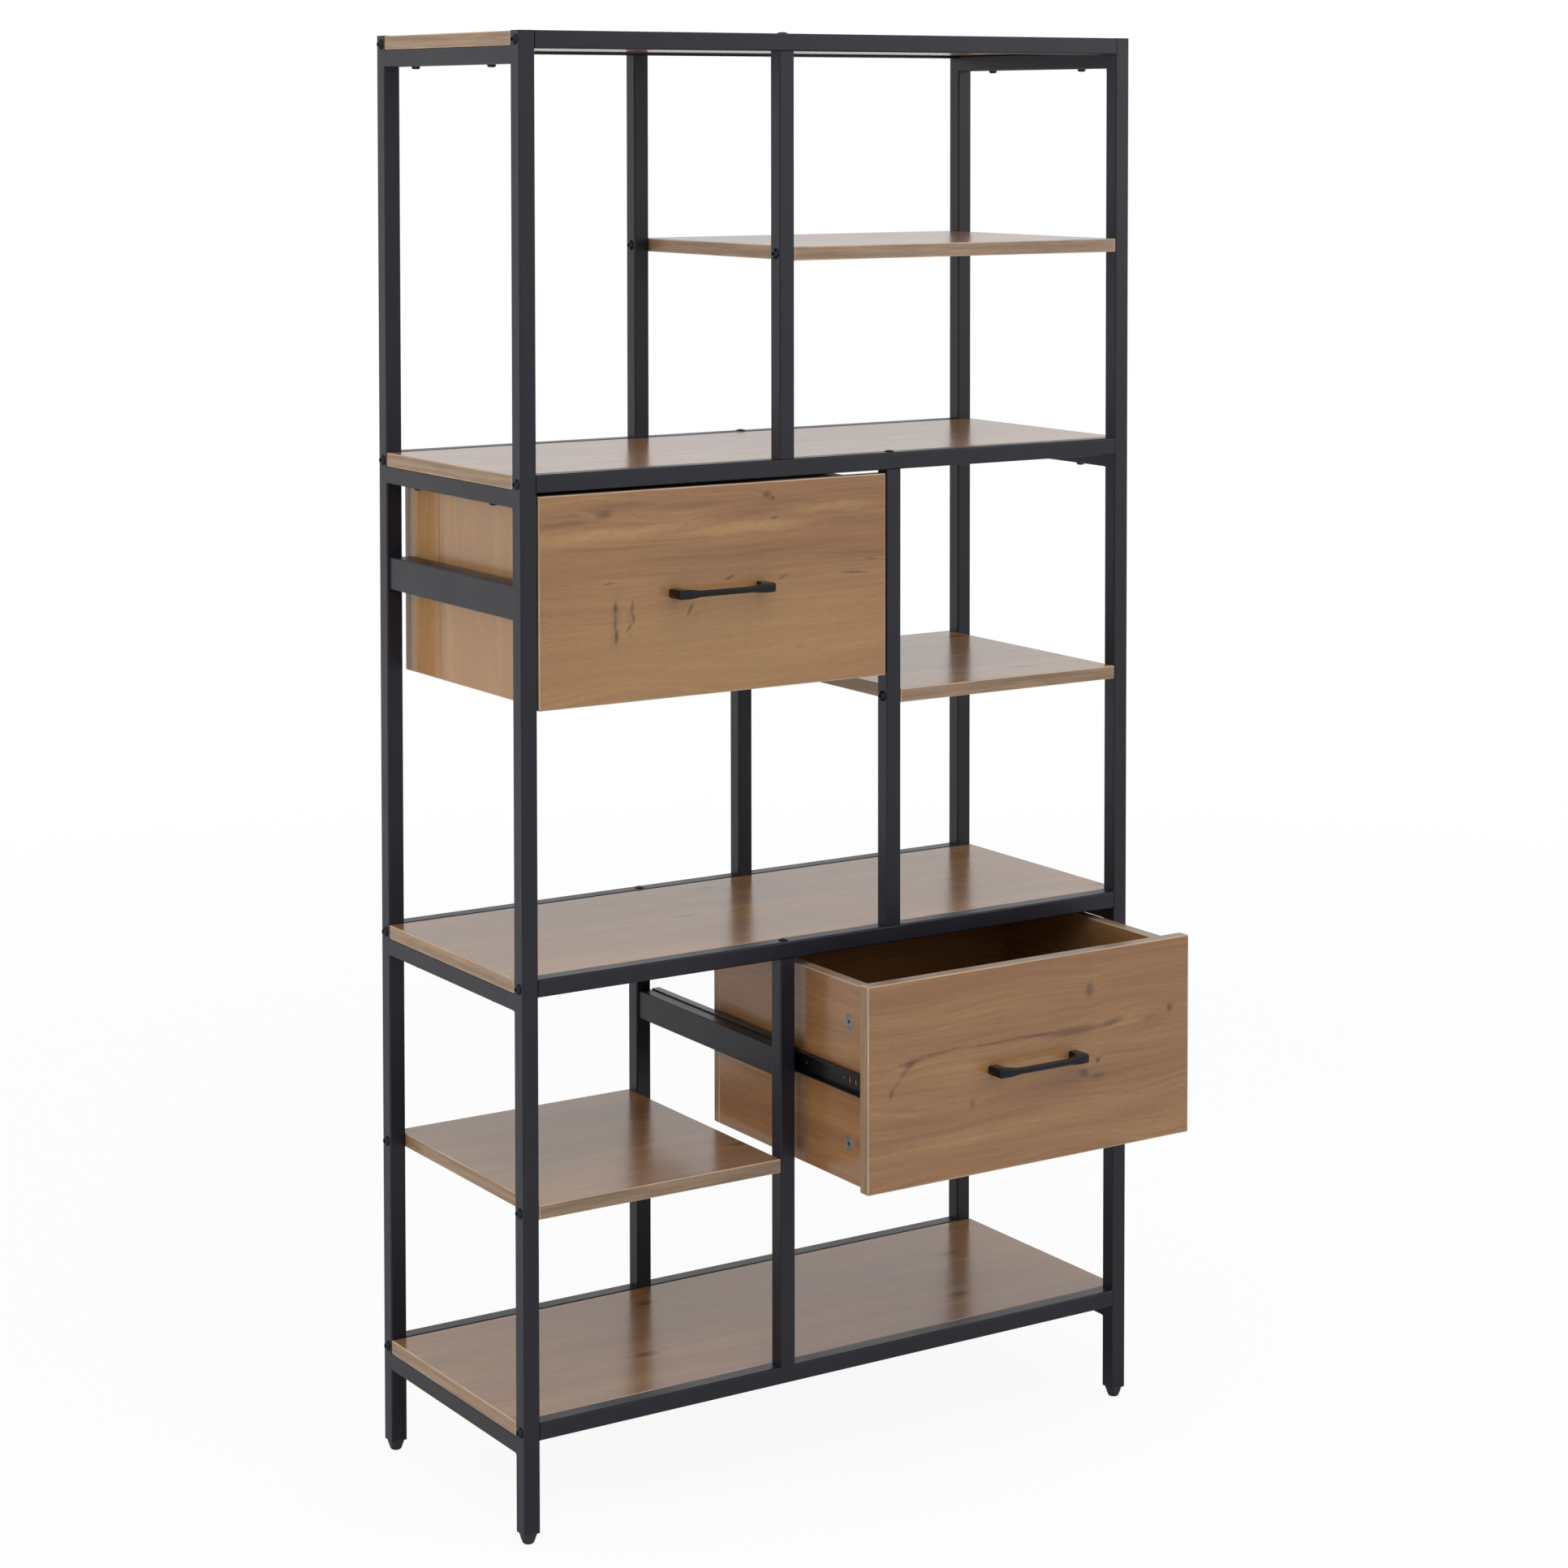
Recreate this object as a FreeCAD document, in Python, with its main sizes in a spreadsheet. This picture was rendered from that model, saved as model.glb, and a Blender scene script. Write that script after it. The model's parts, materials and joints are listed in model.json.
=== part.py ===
"""Open bookcase: a square tube frame, seven board shelves and two drawers on telescopic slides.

The origin lies on the floor, in the middle of the footprint that the bookcase takes with its
lower drawer pulled out. +Z is up, and the drawers open towards -Y. Millimetres throughout.
"""
import FreeCAD, Part
import math
import os
import Sketcher

# Driving dimensions: the alias of each cell in the sheet, and its value.
SIZES = (
    # Frame
    ("frame_width", "840"),         # over the corner posts
    ("frame_depth", "346"),
    ("frame_height", "1670"),       # floor to the top of the posts
    ("tube", "20"),                 # side of the square tube
    ("tube_wall", "1.2"),
    ("tube_corner", "2"),           # outside corner of the tube
    ("foot_high", "13"),            # floor to the bottom of the posts
    ("upper_level", "1185"),        # top of the rails below the top section
    ("middle_level", "629"),
    ("bottom_level", "135"),
    ("divider_offset", "74"),       # axis of a divider post from the middle of the frame
    ("end_plate", "3"),             # tapped plate inside the end of a bolted tube
    ("slide_rail_deep", "17"),      # rail that carries a slide, square to the drawer's way
    ("slide_rail_high", "38"),
    ("short_slide_rail_high", "34"),
    # Shelves
    ("board", "16"),
    ("board_drop", "0.5"),          # top of a full shelf below the top of the rails
    ("board_gap", "0.5"),           # edge of a full shelf to the long rails
    ("low_half_shelf_drop", "4"),   # bottom half shelf below the middle of its section
    # Bolts
    ("bolt_shank", "5.9"),
    ("bolt_tapped", "6"),           # bore in an end plate and in a half shelf
    ("bolt_clear", "6.4"),          # bore through the walls of a tube
    ("bolt_head", "12.2"),
    ("bolt_head_high", "3.3"),
    ("divider_head_high", "1.8"),   # head on a long rail
    ("low_head_high", "1.5"),       # head beside the lower drawer's front
    ("bolt_past_plate", "2"),
    ("shelf_bolt_reach", "20"),     # length of a bolt inside a half shelf
    # Caps and glides
    ("plug_gap", "0.1"),            # plastic plug to the wall of its tube
    ("cap_deep", "5"),
    ("glide_plug", "14"),
    ("glide_flange", "1"),
    ("glide_square", "16"),         # side of the foot where it leaves the flange
    ("glide_cone", "21"),           # cone that trims the foot: across at the flange
    ("glide_base", "13.4"),         # the same on the floor
    ("glide_chamfer", "1.2"),
    # Drawers
    ("front_high", "236"),
    ("front_thick", "16"),
    ("front_gap", "4"),             # rail above to the top of a drawer front
    ("front_side_gap", "2"),
    ("side_thick", "15"),
    ("side_drop", "7"),             # top of a drawer front to the top of the box
    ("back_thick", "12"),
    ("box_rear_gap", "1"),          # back of a closed box to the back of the frame
    ("panel_thick", "5"),           # bottom panel
    ("panel_up", "10"),             # bottom edge of the box to the bottom panel
    ("panel_in", "5.5"),            # edge of the bottom panel inside its groove
    ("groove_deep", "6"),
    ("groove_play", "0.3"),
    ("lower_open", "146"),          # how far the lower drawer stands open
    # Joints of the drawer boxes
    ("cam_bore", "15.2"),
    ("cam_across", "15"),
    ("cam_deep", "12"),
    ("cam_play", "0.5"),            # end of a cam or cam bolt to the bottom of its bore
    ("cam_slot", "1.6"),            # cross recess in a cam
    ("cam_slot_deep", "2"),
    ("cam_from_front", "38"),
    ("cam_spread", "139.4"),
    ("cam_bolt", "6.8"),
    ("cam_bolt_bore", "7"),
    ("cam_bolt_in_front", "11"),
    # Pulls
    ("pull_long", "128"),
    ("pull_end_high", "10.5"),
    ("pull_bar_high", "7.3"),
    ("pull_end_reach", "24"),       # drawer front to the outside of the pull, at its ends
    ("pull_reach", "26"),           # the same at its middle
    ("pull_bar", "6"),              # thickness of the bar, front to back
    ("pull_leg", "12"),
    ("pull_waist", "76"),           # length of the narrow part of the bar
    ("pull_flare", "12"),           # length of the widening at either side of it
    ("pull_rounding", "3"),
    ("pull_bore", "4"),
    ("pull_bore_deep", "9"),
    # Telescopic slides
    ("slide_end_gap", "3"),         # end of a slide to the face of the post
    ("slide_space", "13"),          # slide rail to the side of the box
    ("outer_high", "37"),
    ("outer_deep", "10.4"),
    ("outer_lip", "3"),
    ("inner_high", "24.6"),
    ("inner_deep", "8"),
    ("slide_wall", "1.2"),
    ("slide_bend", "1"),
    ("cage_long", "70"),
    ("cage_play", "0.2"),
    ("slide_hole", "4.4"),
    ("slide_slot_wide", "4.6"),     # upright slots at the front of an inner member
    ("slide_slot_high", "8.5"),
    ("slide_hole_first", "17"),     # front end of an inner member to its first hole
    ("slide_hole_step", "12.5"),    # from one to the next of the three front holes
    ("slide_screw", "118"),         # front end of an inner member to its screw
)

# Values that follow from the sizes: the alias of each cell, and its formula.
PLACES = (
    ("shift", "(Sizes.lower_open + Sizes.pull_reach) / 2"),
    ("front_y", "-Sizes.frame_depth / 2"),
    ("post_x", "Sizes.frame_width / 2 - Sizes.tube / 2"),
    ("post_y", "Sizes.frame_depth / 2 - Sizes.tube / 2"),
    ("post_long", "Sizes.frame_height - Sizes.foot_high"),
    ("post_z", "(Sizes.frame_height + Sizes.foot_high) / 2"),
    ("long_rail", "Sizes.frame_width - 2 * Sizes.tube"),
    ("side_rail", "Sizes.frame_depth - 2 * Sizes.tube"),
    ("bore_side", "Sizes.tube - 2 * Sizes.tube_wall"),
    ("slide_long", "side_rail - 2 * Sizes.slide_end_gap"),
    ("slide_rail_x", "Sizes.frame_width / 2 - Sizes.tube + Sizes.slide_rail_deep / 2"),
    ("divider_rail_x", "Sizes.divider_offset - Sizes.tube / 2 + Sizes.slide_rail_deep / 2"),
    ("full_deep", "Sizes.frame_depth - 2 * Sizes.tube - 2 * Sizes.board_gap"),
    ("full_under", "Sizes.board_drop + Sizes.board"),
    ("top_half_shelf", "(Sizes.frame_height + Sizes.upper_level) / 2"),
    ("middle_half_shelf", "(Sizes.upper_level + Sizes.middle_level) / 2"),
    ("bottom_half_shelf",
     "(Sizes.middle_level + Sizes.bottom_level) / 2 - Sizes.low_half_shelf_drop"),
    ("half_long", "Sizes.frame_width / 2 - Sizes.tube * 3 / 2 - Sizes.divider_offset"),
    ("bay", "Sizes.frame_width / 2 - Sizes.tube * 3 / 2 + Sizes.divider_offset"),
    ("bay_x", "(Sizes.frame_width / 2 - Sizes.tube / 2 - Sizes.divider_offset) / 2"),
    ("drawer_below", "Sizes.tube + Sizes.front_gap + Sizes.front_high / 2"),
    ("upper_drawer_z", "Sizes.upper_level - drawer_below"),
    ("lower_drawer_z", "Sizes.middle_level - drawer_below"),
    ("front_wide", "bay - 2 * Sizes.front_side_gap"),
    ("box_wide", "bay - 2 * Sizes.slide_space"),
    ("box_high", "Sizes.front_high - Sizes.side_drop"),
    ("box_z", "-Sizes.side_drop / 2"),
    ("side_long", "Sizes.frame_depth - Sizes.front_thick - Sizes.back_thick - Sizes.box_rear_gap"),
    ("side_y", "Sizes.front_thick + side_long / 2"),
    ("back_y", "Sizes.front_thick + side_long + Sizes.back_thick / 2"),
    ("groove_high", "Sizes.panel_thick + Sizes.groove_play"),
    ("groove_z", "Sizes.panel_up + groove_high / 2 - Sizes.front_high / 2"),
    ("panel_z", "Sizes.panel_up + Sizes.panel_thick / 2 - Sizes.front_high / 2"),
    ("pull_holes", "Sizes.pull_long - Sizes.pull_leg"),
)

DOC = FreeCAD.newDocument("Bookcase")
NODES = []

X_TURN = FreeCAD.Vector(1, 0, 0)
Y_TURN = FreeCAD.Vector(0, 1, 0)
NO_TURN = FreeCAD.Rotation()
HEAD_RIGHT = FreeCAD.Rotation(Y_TURN, 90)
HEAD_LEFT = FreeCAD.Rotation(Y_TURN, -90)
HEAD_DOWN = FreeCAD.Rotation(X_TURN, 180)
HEAD_FRONT = FreeCAD.Rotation(X_TURN, 90)
OTHER_HAND = FreeCAD.Rotation(Y_TURN, 180)

FRONT_AND_REAR = (("front", "-"), ("rear", ""))
LEFT_AND_RIGHT = (("left", "-"), ("right", ""))


# ---------------------------------------------------------------- sheets and values

def fill_sheet(name, rows, sign):
    """A sheet with an alias in column A and its value or formula in column B."""
    sheet = DOC.addObject("Spreadsheet::Sheet", name)
    for row, (alias, content) in enumerate(rows, start=1):
        sheet.set("A%d" % row, alias)
        sheet.set("B%d" % row, sign + content)
        sheet.setAlias("B%d" % row, alias)
    DOC.recompute()
    return sheet


def value(expression):
    """The number that an expression gives with the present sizes."""
    return float(SHEET.evalExpression(expression))


# ---------------------------------------------------------------- sketches

def new_body(label):
    body = DOC.addObject("PartDesign::Body", label)
    body.Label = label
    return body


def new_sketch(body, plane, offset=None):
    """A sketch on one of the body's own planes, or at an offset along that plane's normal."""
    sketch = body.newObject("Sketcher::SketchObject", body.Name + "_sketch")
    planes = {item.Role: item for item in body.Origin.OriginFeatures}
    sketch.AttachmentSupport = [(planes[plane], "")]
    sketch.MapMode = "FlatFace"
    if offset is not None:
        sketch.setExpression("AttachmentOffset.Base.z", offset)
    return sketch


def bind(sketch, constraint, expression):
    """Adds a dimension to the sketch and ties it to the sizes."""
    index = sketch.addConstraint(constraint)
    sketch.setExpression("Constraints[%d]" % index, expression)


def point(across, up):
    return FreeCAD.Vector(value(across), value(up), 0)


def polygon(sketch, corners):
    """A closed outline whose corners are tied to the sizes."""
    first = sketch.GeometryCount
    count = len(corners)
    points = [point(across, up) for across, up in corners]
    for index in range(count):
        sketch.addGeometry(Part.LineSegment(points[index], points[(index + 1) % count]))
    for index, (across, up) in enumerate(corners):
        line = first + index
        after = first + (index + 1) % count
        sketch.addConstraint(Sketcher.Constraint("Coincident", line, 2, after, 1))
        right = Sketcher.Constraint("DistanceX", -1, 1, line, 1, points[index].x)
        bind(sketch, right, across)
        above = Sketcher.Constraint("DistanceY", -1, 1, line, 1, points[index].y)
        bind(sketch, above, up)


def rectangle(sketch, wide, high, across="0", up="0"):
    """A rectangle about a centre."""
    left = "(%s) - (%s) / 2" % (across, wide)
    right = "(%s) + (%s) / 2" % (across, wide)
    low = "(%s) - (%s) / 2" % (up, high)
    top = "(%s) + (%s) / 2" % (up, high)
    polygon(sketch, ((left, low), (right, low), (right, top), (left, top)))


def rounded_rectangle(sketch, wide, high, corner):
    """A rectangle about the sketch's origin with four equal round corners."""
    radius = value(corner)
    half_wide = value(wide) / 2
    half_high = value(high) / 2
    inner_wide = half_wide - radius
    inner_high = half_high - radius
    normal = FreeCAD.Vector(0, 0, 1)
    quarter = math.pi / 2
    # Counter-clockwise from the bottom line: a line, then the arc after it.
    lines = (
        (-inner_wide, -half_high, inner_wide, -half_high),
        (half_wide, -inner_high, half_wide, inner_high),
        (inner_wide, half_high, -inner_wide, half_high),
        (-half_wide, inner_high, -half_wide, -inner_high),
    )
    centres = (
        (inner_wide, -inner_high),
        (inner_wide, inner_high),
        (-inner_wide, inner_high),
        (-inner_wide, -inner_high),
    )
    first = sketch.GeometryCount
    for index in range(4):
        x_from, y_from, x_to, y_to = lines[index]
        start = FreeCAD.Vector(x_from, y_from, 0)
        end = FreeCAD.Vector(x_to, y_to, 0)
        sketch.addGeometry(Part.LineSegment(start, end))
        centre = FreeCAD.Vector(centres[index][0], centres[index][1], 0)
        circle = Part.Circle(centre, normal, radius)
        angle = (index - 1) * quarter
        sketch.addGeometry(Part.ArcOfCircle(circle, angle, angle + quarter))
    for index in range(8):
        after = first + (index + 1) % 8
        sketch.addConstraint(Sketcher.Constraint("Tangent", first + index, 2, after, 1))
    sketch.addConstraint(Sketcher.Constraint("Horizontal", first))
    sketch.addConstraint(Sketcher.Constraint("Vertical", first + 2))
    sketch.addConstraint(Sketcher.Constraint("Horizontal", first + 4))
    sketch.addConstraint(Sketcher.Constraint("Vertical", first + 6))
    for arc in (first + 3, first + 5, first + 7):
        sketch.addConstraint(Sketcher.Constraint("Equal", first + 1, arc))
    sketch.addConstraint(Sketcher.Constraint("Symmetric", first + 1, 3, first + 5, 3, -1, 1))
    bind(sketch, Sketcher.Constraint("Radius", first + 1, radius), corner)
    apart = Sketcher.Constraint("DistanceX", first + 7, 3, first + 1, 3, 2 * inner_wide)
    bind(sketch, apart, "(%s) - 2 * (%s)" % (wide, corner))
    apart = Sketcher.Constraint("DistanceY", first + 1, 3, first + 3, 3, 2 * inner_high)
    bind(sketch, apart, "(%s) - 2 * (%s)" % (high, corner))


def circles(sketch, centres, across):
    """Equal circles, each about its own centre, with one diameter."""
    normal = FreeCAD.Vector(0, 0, 1)
    radius = value(across) / 2
    for right, above in centres:
        centre = point(right, above)
        circle = sketch.addGeometry(Part.Circle(centre, normal, radius))
        bind(sketch, Sketcher.Constraint("DistanceX", -1, 1, circle, 3, centre.x), right)
        bind(sketch, Sketcher.Constraint("DistanceY", -1, 1, circle, 3, centre.y), above)
        bind(sketch, Sketcher.Constraint("Diameter", circle, 2 * radius), across)


def upright_slot(sketch, across, up, wide, high):
    """A slot with round ends that stands on end about its centre."""
    radius = value(wide) / 2
    top_up = "(%s) + ((%s) - (%s)) / 2" % (up, high, wide)
    bottom_up = "(%s) - ((%s) - (%s)) / 2" % (up, high, wide)
    top_centre = point(across, top_up)
    bottom_centre = point(across, bottom_up)
    aside = FreeCAD.Vector(radius, 0, 0)
    normal = FreeCAD.Vector(0, 0, 1)
    top_circle = Part.Circle(top_centre, normal, radius)
    bottom_circle = Part.Circle(bottom_centre, normal, radius)
    right = sketch.addGeometry(Part.LineSegment(bottom_centre + aside, top_centre + aside))
    top = sketch.addGeometry(Part.ArcOfCircle(top_circle, 0, math.pi))
    left = sketch.addGeometry(Part.LineSegment(top_centre - aside, bottom_centre - aside))
    bottom = sketch.addGeometry(Part.ArcOfCircle(bottom_circle, math.pi, 2 * math.pi))
    for one, other in ((right, top), (top, left), (left, bottom), (bottom, right)):
        sketch.addConstraint(Sketcher.Constraint("Tangent", one, 2, other, 1))
    sketch.addConstraint(Sketcher.Constraint("Vertical", right))
    sketch.addConstraint(Sketcher.Constraint("Equal", top, bottom))
    bind(sketch, Sketcher.Constraint("DistanceX", -1, 1, top, 3, top_centre.x), across)
    bind(sketch, Sketcher.Constraint("DistanceY", -1, 1, top, 3, top_centre.y), top_up)
    bind(sketch, Sketcher.Constraint("DistanceY", -1, 1, bottom, 3, bottom_centre.y), bottom_up)
    bind(sketch, Sketcher.Constraint("Radius", top, radius), "(%s) / 2" % wide)


# ---------------------------------------------------------------- features

def pad(body, sketch, length, side="Symmetric", backwards=False):
    feature = body.newObject("PartDesign::Pad", body.Name + "_pad")
    feature.Profile = sketch
    feature.SideType = side
    feature.Reversed = backwards
    feature.setExpression("Length", length)
    return feature


def cut_through(body, sketch):
    """A cut that runs right through the body, both ways from the sketch."""
    feature = body.newObject("PartDesign::Pocket", body.Name + "_cut")
    feature.Profile = sketch
    feature.Type = "ThroughAll"
    feature.SideType = "Symmetric"
    return feature


def cut_to_depth(body, sketch, depth, along_normal=False):
    feature = body.newObject("PartDesign::Pocket", body.Name + "_cut")
    feature.Profile = sketch
    feature.Reversed = along_normal
    feature.setExpression("Length", depth)
    return feature


def mirror(body, feature, plane):
    """Repeats a feature on the other side of one of the body's planes."""
    planes = {item.Role: item for item in body.Origin.OriginFeatures}
    copy = body.newObject("PartDesign::Mirrored", body.Name + "_mirror")
    copy.Originals = [feature]
    copy.MirrorPlane = (planes[plane], [""])
    body.Tip = copy
    return copy


def revolve(body, sketch):
    """Turns a half section about the sketch's vertical axis."""
    feature = body.newObject("PartDesign::Revolution", body.Name + "_turned")
    feature.Profile = sketch
    feature.ReferenceAxis = (sketch, ["V_Axis"])
    feature.Angle = 360
    return feature


def turn_away(body, sketch):
    """Cuts away what a half section sweeps about the sketch's vertical axis."""
    feature = body.newObject("PartDesign::Groove", body.Name + "_trimmed")
    feature.Profile = sketch
    feature.ReferenceAxis = (sketch, ["V_Axis"])
    feature.Angle = 360
    return feature


def same(one, other):
    return math.isclose(one, other, abs_tol=Part.Precision.confusion())


def runs_along_y(edge):
    return same(abs(edge.tangentAt(edge.FirstParameter).y), 1)


def round_edges(body, feature, chosen, radius):
    """Rounds those straight edges of the last feature that the test picks."""
    DOC.recompute()
    names = []
    for index, edge in enumerate(feature.Shape.Edges, start=1):
        if edge.Curve.TypeId == "Part::GeomLine" and chosen(edge):
            names.append("Edge%d" % index)
    fillet = body.newObject("PartDesign::Fillet", body.Name + "_rounding")
    fillet.Base = (feature, names)
    fillet.Radius = value(radius)
    fillet.setExpression("Radius", radius)
    return fillet


def place(item, x="0", y="0", z="0", turn=NO_TURN):
    """Puts an object in the frame, which is centred on the posts, then shifts it to the origin."""
    item.Placement = FreeCAD.Placement(FreeCAD.Vector(), turn)
    item.setExpression("Placement.Base.x", x)
    item.setExpression("Placement.Base.y", "(%s) + Places.shift" % y)
    item.setExpression("Placement.Base.z", z)


def finish(item, x="0", y="0", z="0", turn=NO_TURN):
    """Places a sub-part and lists it for export."""
    place(item, x, y, z, turn)
    NODES.append(item)


def copies(label, places):
    """One sub-part made of placed copies: each place is a master, x, y, z and a turn."""
    links = []
    for master, x, y, z, turn in places:
        link = DOC.addObject("App::Link", label + "_copy")
        link.LinkedObject = master
        place(link, x, y, z, turn)
        links.append(link)
    compound = DOC.addObject("Part::Compound", label)
    compound.Label = label
    compound.Links = links
    NODES.append(compound)


# ---------------------------------------------------------------- frame

def tube_body(label, plane, length, wide="Sizes.tube", high="Sizes.tube"):
    """A welded tube, centred on its own origin and square to the plane."""
    body = new_body(label)
    section = new_sketch(body, plane)
    rounded_rectangle(section, wide, high, "Sizes.tube_corner")
    bore_wide = "(%s) - 2 * Sizes.tube_wall" % wide
    bore_high = "(%s) - 2 * Sizes.tube_wall" % high
    rectangle(section, bore_wide, bore_high)
    pad(body, section, length)
    return body


def add_end_plates(body, plane, length):
    """Tapped plates inside both ends, flush with them."""
    sketch = new_sketch(body, plane, "(%s) / 2 - Sizes.end_plate" % length)
    rectangle(sketch, "Places.bore_side", "Places.bore_side")
    circles(sketch, (("0", "0"),), "Sizes.bolt_tapped")
    plate = pad(body, sketch, "Sizes.end_plate", "One side")
    mirror(body, plate, plane)


def drill(body, plane, centres, across="Sizes.bolt_clear"):
    sketch = new_sketch(body, plane)
    circles(sketch, centres, across)
    cut_through(body, sketch)


def half_shelf_middle(name):
    """Height of the middle of a half shelf's thickness, where its bolts are."""
    return "Places.%s_half_shelf - Sizes.board / 2" % name


def make_corner_posts():
    levels = ("Sizes.frame_height", "Sizes.upper_level", "Sizes.middle_level", "Sizes.bottom_level")
    shelves = {"left": ("bottom",), "right": ("top", "middle")}
    for side, side_sign in LEFT_AND_RIGHT:
        heights = ["%s - Sizes.tube / 2" % level for level in levels]
        heights += [half_shelf_middle(name) for name in shelves[side]]
        bores = [("0", "%s - Places.post_z" % height) for height in heights]
        for end, end_sign in FRONT_AND_REAR:
            post = tube_body("corner_post_%s_%s" % (side, end), "XY_Plane", "Places.post_long")
            drill(post, "YZ_Plane", bores)
            finish(post, side_sign + "Places.post_x", end_sign + "Places.post_y", "Places.post_z")


def make_long_rails():
    left = "-Sizes.divider_offset"
    right = "Sizes.divider_offset"
    rails = (
        ("top", "Sizes.frame_height", (left,)),
        ("upper", "Sizes.upper_level", (left, right)),
        ("middle", "Sizes.middle_level", (left, right)),
        ("bottom", "Sizes.bottom_level", (left,)),
    )
    for name, level, dividers in rails:
        bores = [(divider, "0") for divider in dividers]
        for end, end_sign in FRONT_AND_REAR:
            rail = tube_body("%s_rail_%s" % (end, name), "YZ_Plane", "Places.long_rail")
            drill(rail, "XY_Plane", bores)
            add_end_plates(rail, "YZ_Plane", "Places.long_rail")
            finish(rail, "0", end_sign + "Places.post_y", "%s - Sizes.tube / 2" % level)


def make_side_rails():
    """The rails below the full shelves, between a front and a rear post."""
    rail = tube_body("side_rail", "XZ_Plane", "Places.side_rail")
    for side, sign in LEFT_AND_RIGHT:
        places = []
        for level in ("frame_height", "upper_level", "middle_level", "bottom_level"):
            height = "Sizes.%s - Places.full_under - Sizes.tube / 2" % level
            places.append((rail, sign + "Places.post_x", "0", height, NO_TURN))
        copies("%s_side_rails" % side, places)


def make_slide_rails():
    """The wide rails between front and rear posts that the drawer slides are screwed to."""
    rails = (
        ("slide_rail_left", "-Places.slide_rail_x", "upper", "Sizes.slide_rail_high"),
        ("slide_rail_right", "Places.slide_rail_x", "lower", "Sizes.slide_rail_high"),
        ("slide_rail_upper_divider", "Places.divider_rail_x", "upper", "Sizes.slide_rail_high"),
        ("slide_rail_lower_divider", "-Places.divider_rail_x", "lower",
         "Sizes.short_slide_rail_high"),
    )
    for label, x, drawer, high in rails:
        rail = tube_body(label, "XZ_Plane", "Places.side_rail", "Sizes.slide_rail_deep", high)
        finish(rail, x, "0", "Places.%s_drawer_z" % drawer)


def make_divider_posts():
    dividers = (
        ("top", "-Sizes.divider_offset", "Sizes.upper_level", "Sizes.frame_height"),
        ("middle", "Sizes.divider_offset", "Sizes.middle_level", "Sizes.upper_level"),
        ("bottom", "-Sizes.divider_offset", "Sizes.bottom_level", "Sizes.middle_level"),
    )
    for name, x, low, high in dividers:
        length = "(%s - Sizes.tube - %s)" % (high, low)
        middle = "(%s - Sizes.tube + %s) / 2" % (high, low)
        for end, end_sign in FRONT_AND_REAR:
            post = tube_body("divider_%s_%s" % (name, end), "XY_Plane", length)
            drill(post, "YZ_Plane", (("0", "%s - %s" % (half_shelf_middle(name), middle)),))
            add_end_plates(post, "XY_Plane", length)
            finish(post, x, end_sign + "Places.post_y", middle)


# ---------------------------------------------------------------- shelves

def make_full_shelves():
    """Boards between the long rails, lying on the side rails."""
    for name, level in (("top", "frame_height"), ("upper", "upper_level"),
                        ("middle", "middle_level"), ("bottom", "bottom_level")):
        shelf = new_body("shelf_%s" % name)
        outline = new_sketch(shelf, "XY_Plane")
        rectangle(outline, "Sizes.frame_width", "Places.full_deep")
        pad(shelf, outline, "Sizes.board")
        finish(shelf, "0", "0", "Sizes.%s - Sizes.board_drop - Sizes.board / 2" % level)


def make_half_shelves():
    """Full-depth boards between a corner post and a divider, bolted through both."""
    shelves = (
        ("top", "Places.bay", "1"),
        ("middle", "Places.half_long", "1"),
        ("bottom", "Places.half_long", "-1"),
    )
    for name, length, side in shelves:
        shelf = new_body("half_shelf_%s" % name)
        outline = new_sketch(shelf, "XY_Plane")
        rectangle(outline, length, "Sizes.frame_depth")
        pad(shelf, outline, "Sizes.board")
        end = new_sketch(shelf, "YZ_Plane", "%s / 2" % length)
        circles(end, (("-Places.post_y", "0"), ("Places.post_y", "0")), "Sizes.bolt_tapped")
        bores = cut_to_depth(shelf, end, "Sizes.shelf_bolt_reach")
        mirror(shelf, bores, "YZ_Plane")
        outer_end = "(Sizes.frame_width / 2 - Sizes.tube - %s / 2)" % length
        finish(shelf, "%s * %s" % (side, outer_end), "0", half_shelf_middle(name))


# ---------------------------------------------------------------- bolts, caps and glides

def bolt_body(label, length, head_high):
    """A turned bolt: its head's seat is at the origin and its shank points down."""
    shank = "Sizes.bolt_shank"
    head = "Sizes.bolt_head"
    body = new_body(label)
    section = new_sketch(body, "XZ_Plane")
    polygon(section, (
        ("0", "-(%s)" % length),
        ("%s / 2" % shank, "-(%s)" % length),
        ("%s / 2" % shank, "0"),
        ("%s / 2" % head, "0"),
        ("%s / 2" % head, head_high),
        ("0", head_high),
    ))
    revolve(body, section)
    return body


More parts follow.
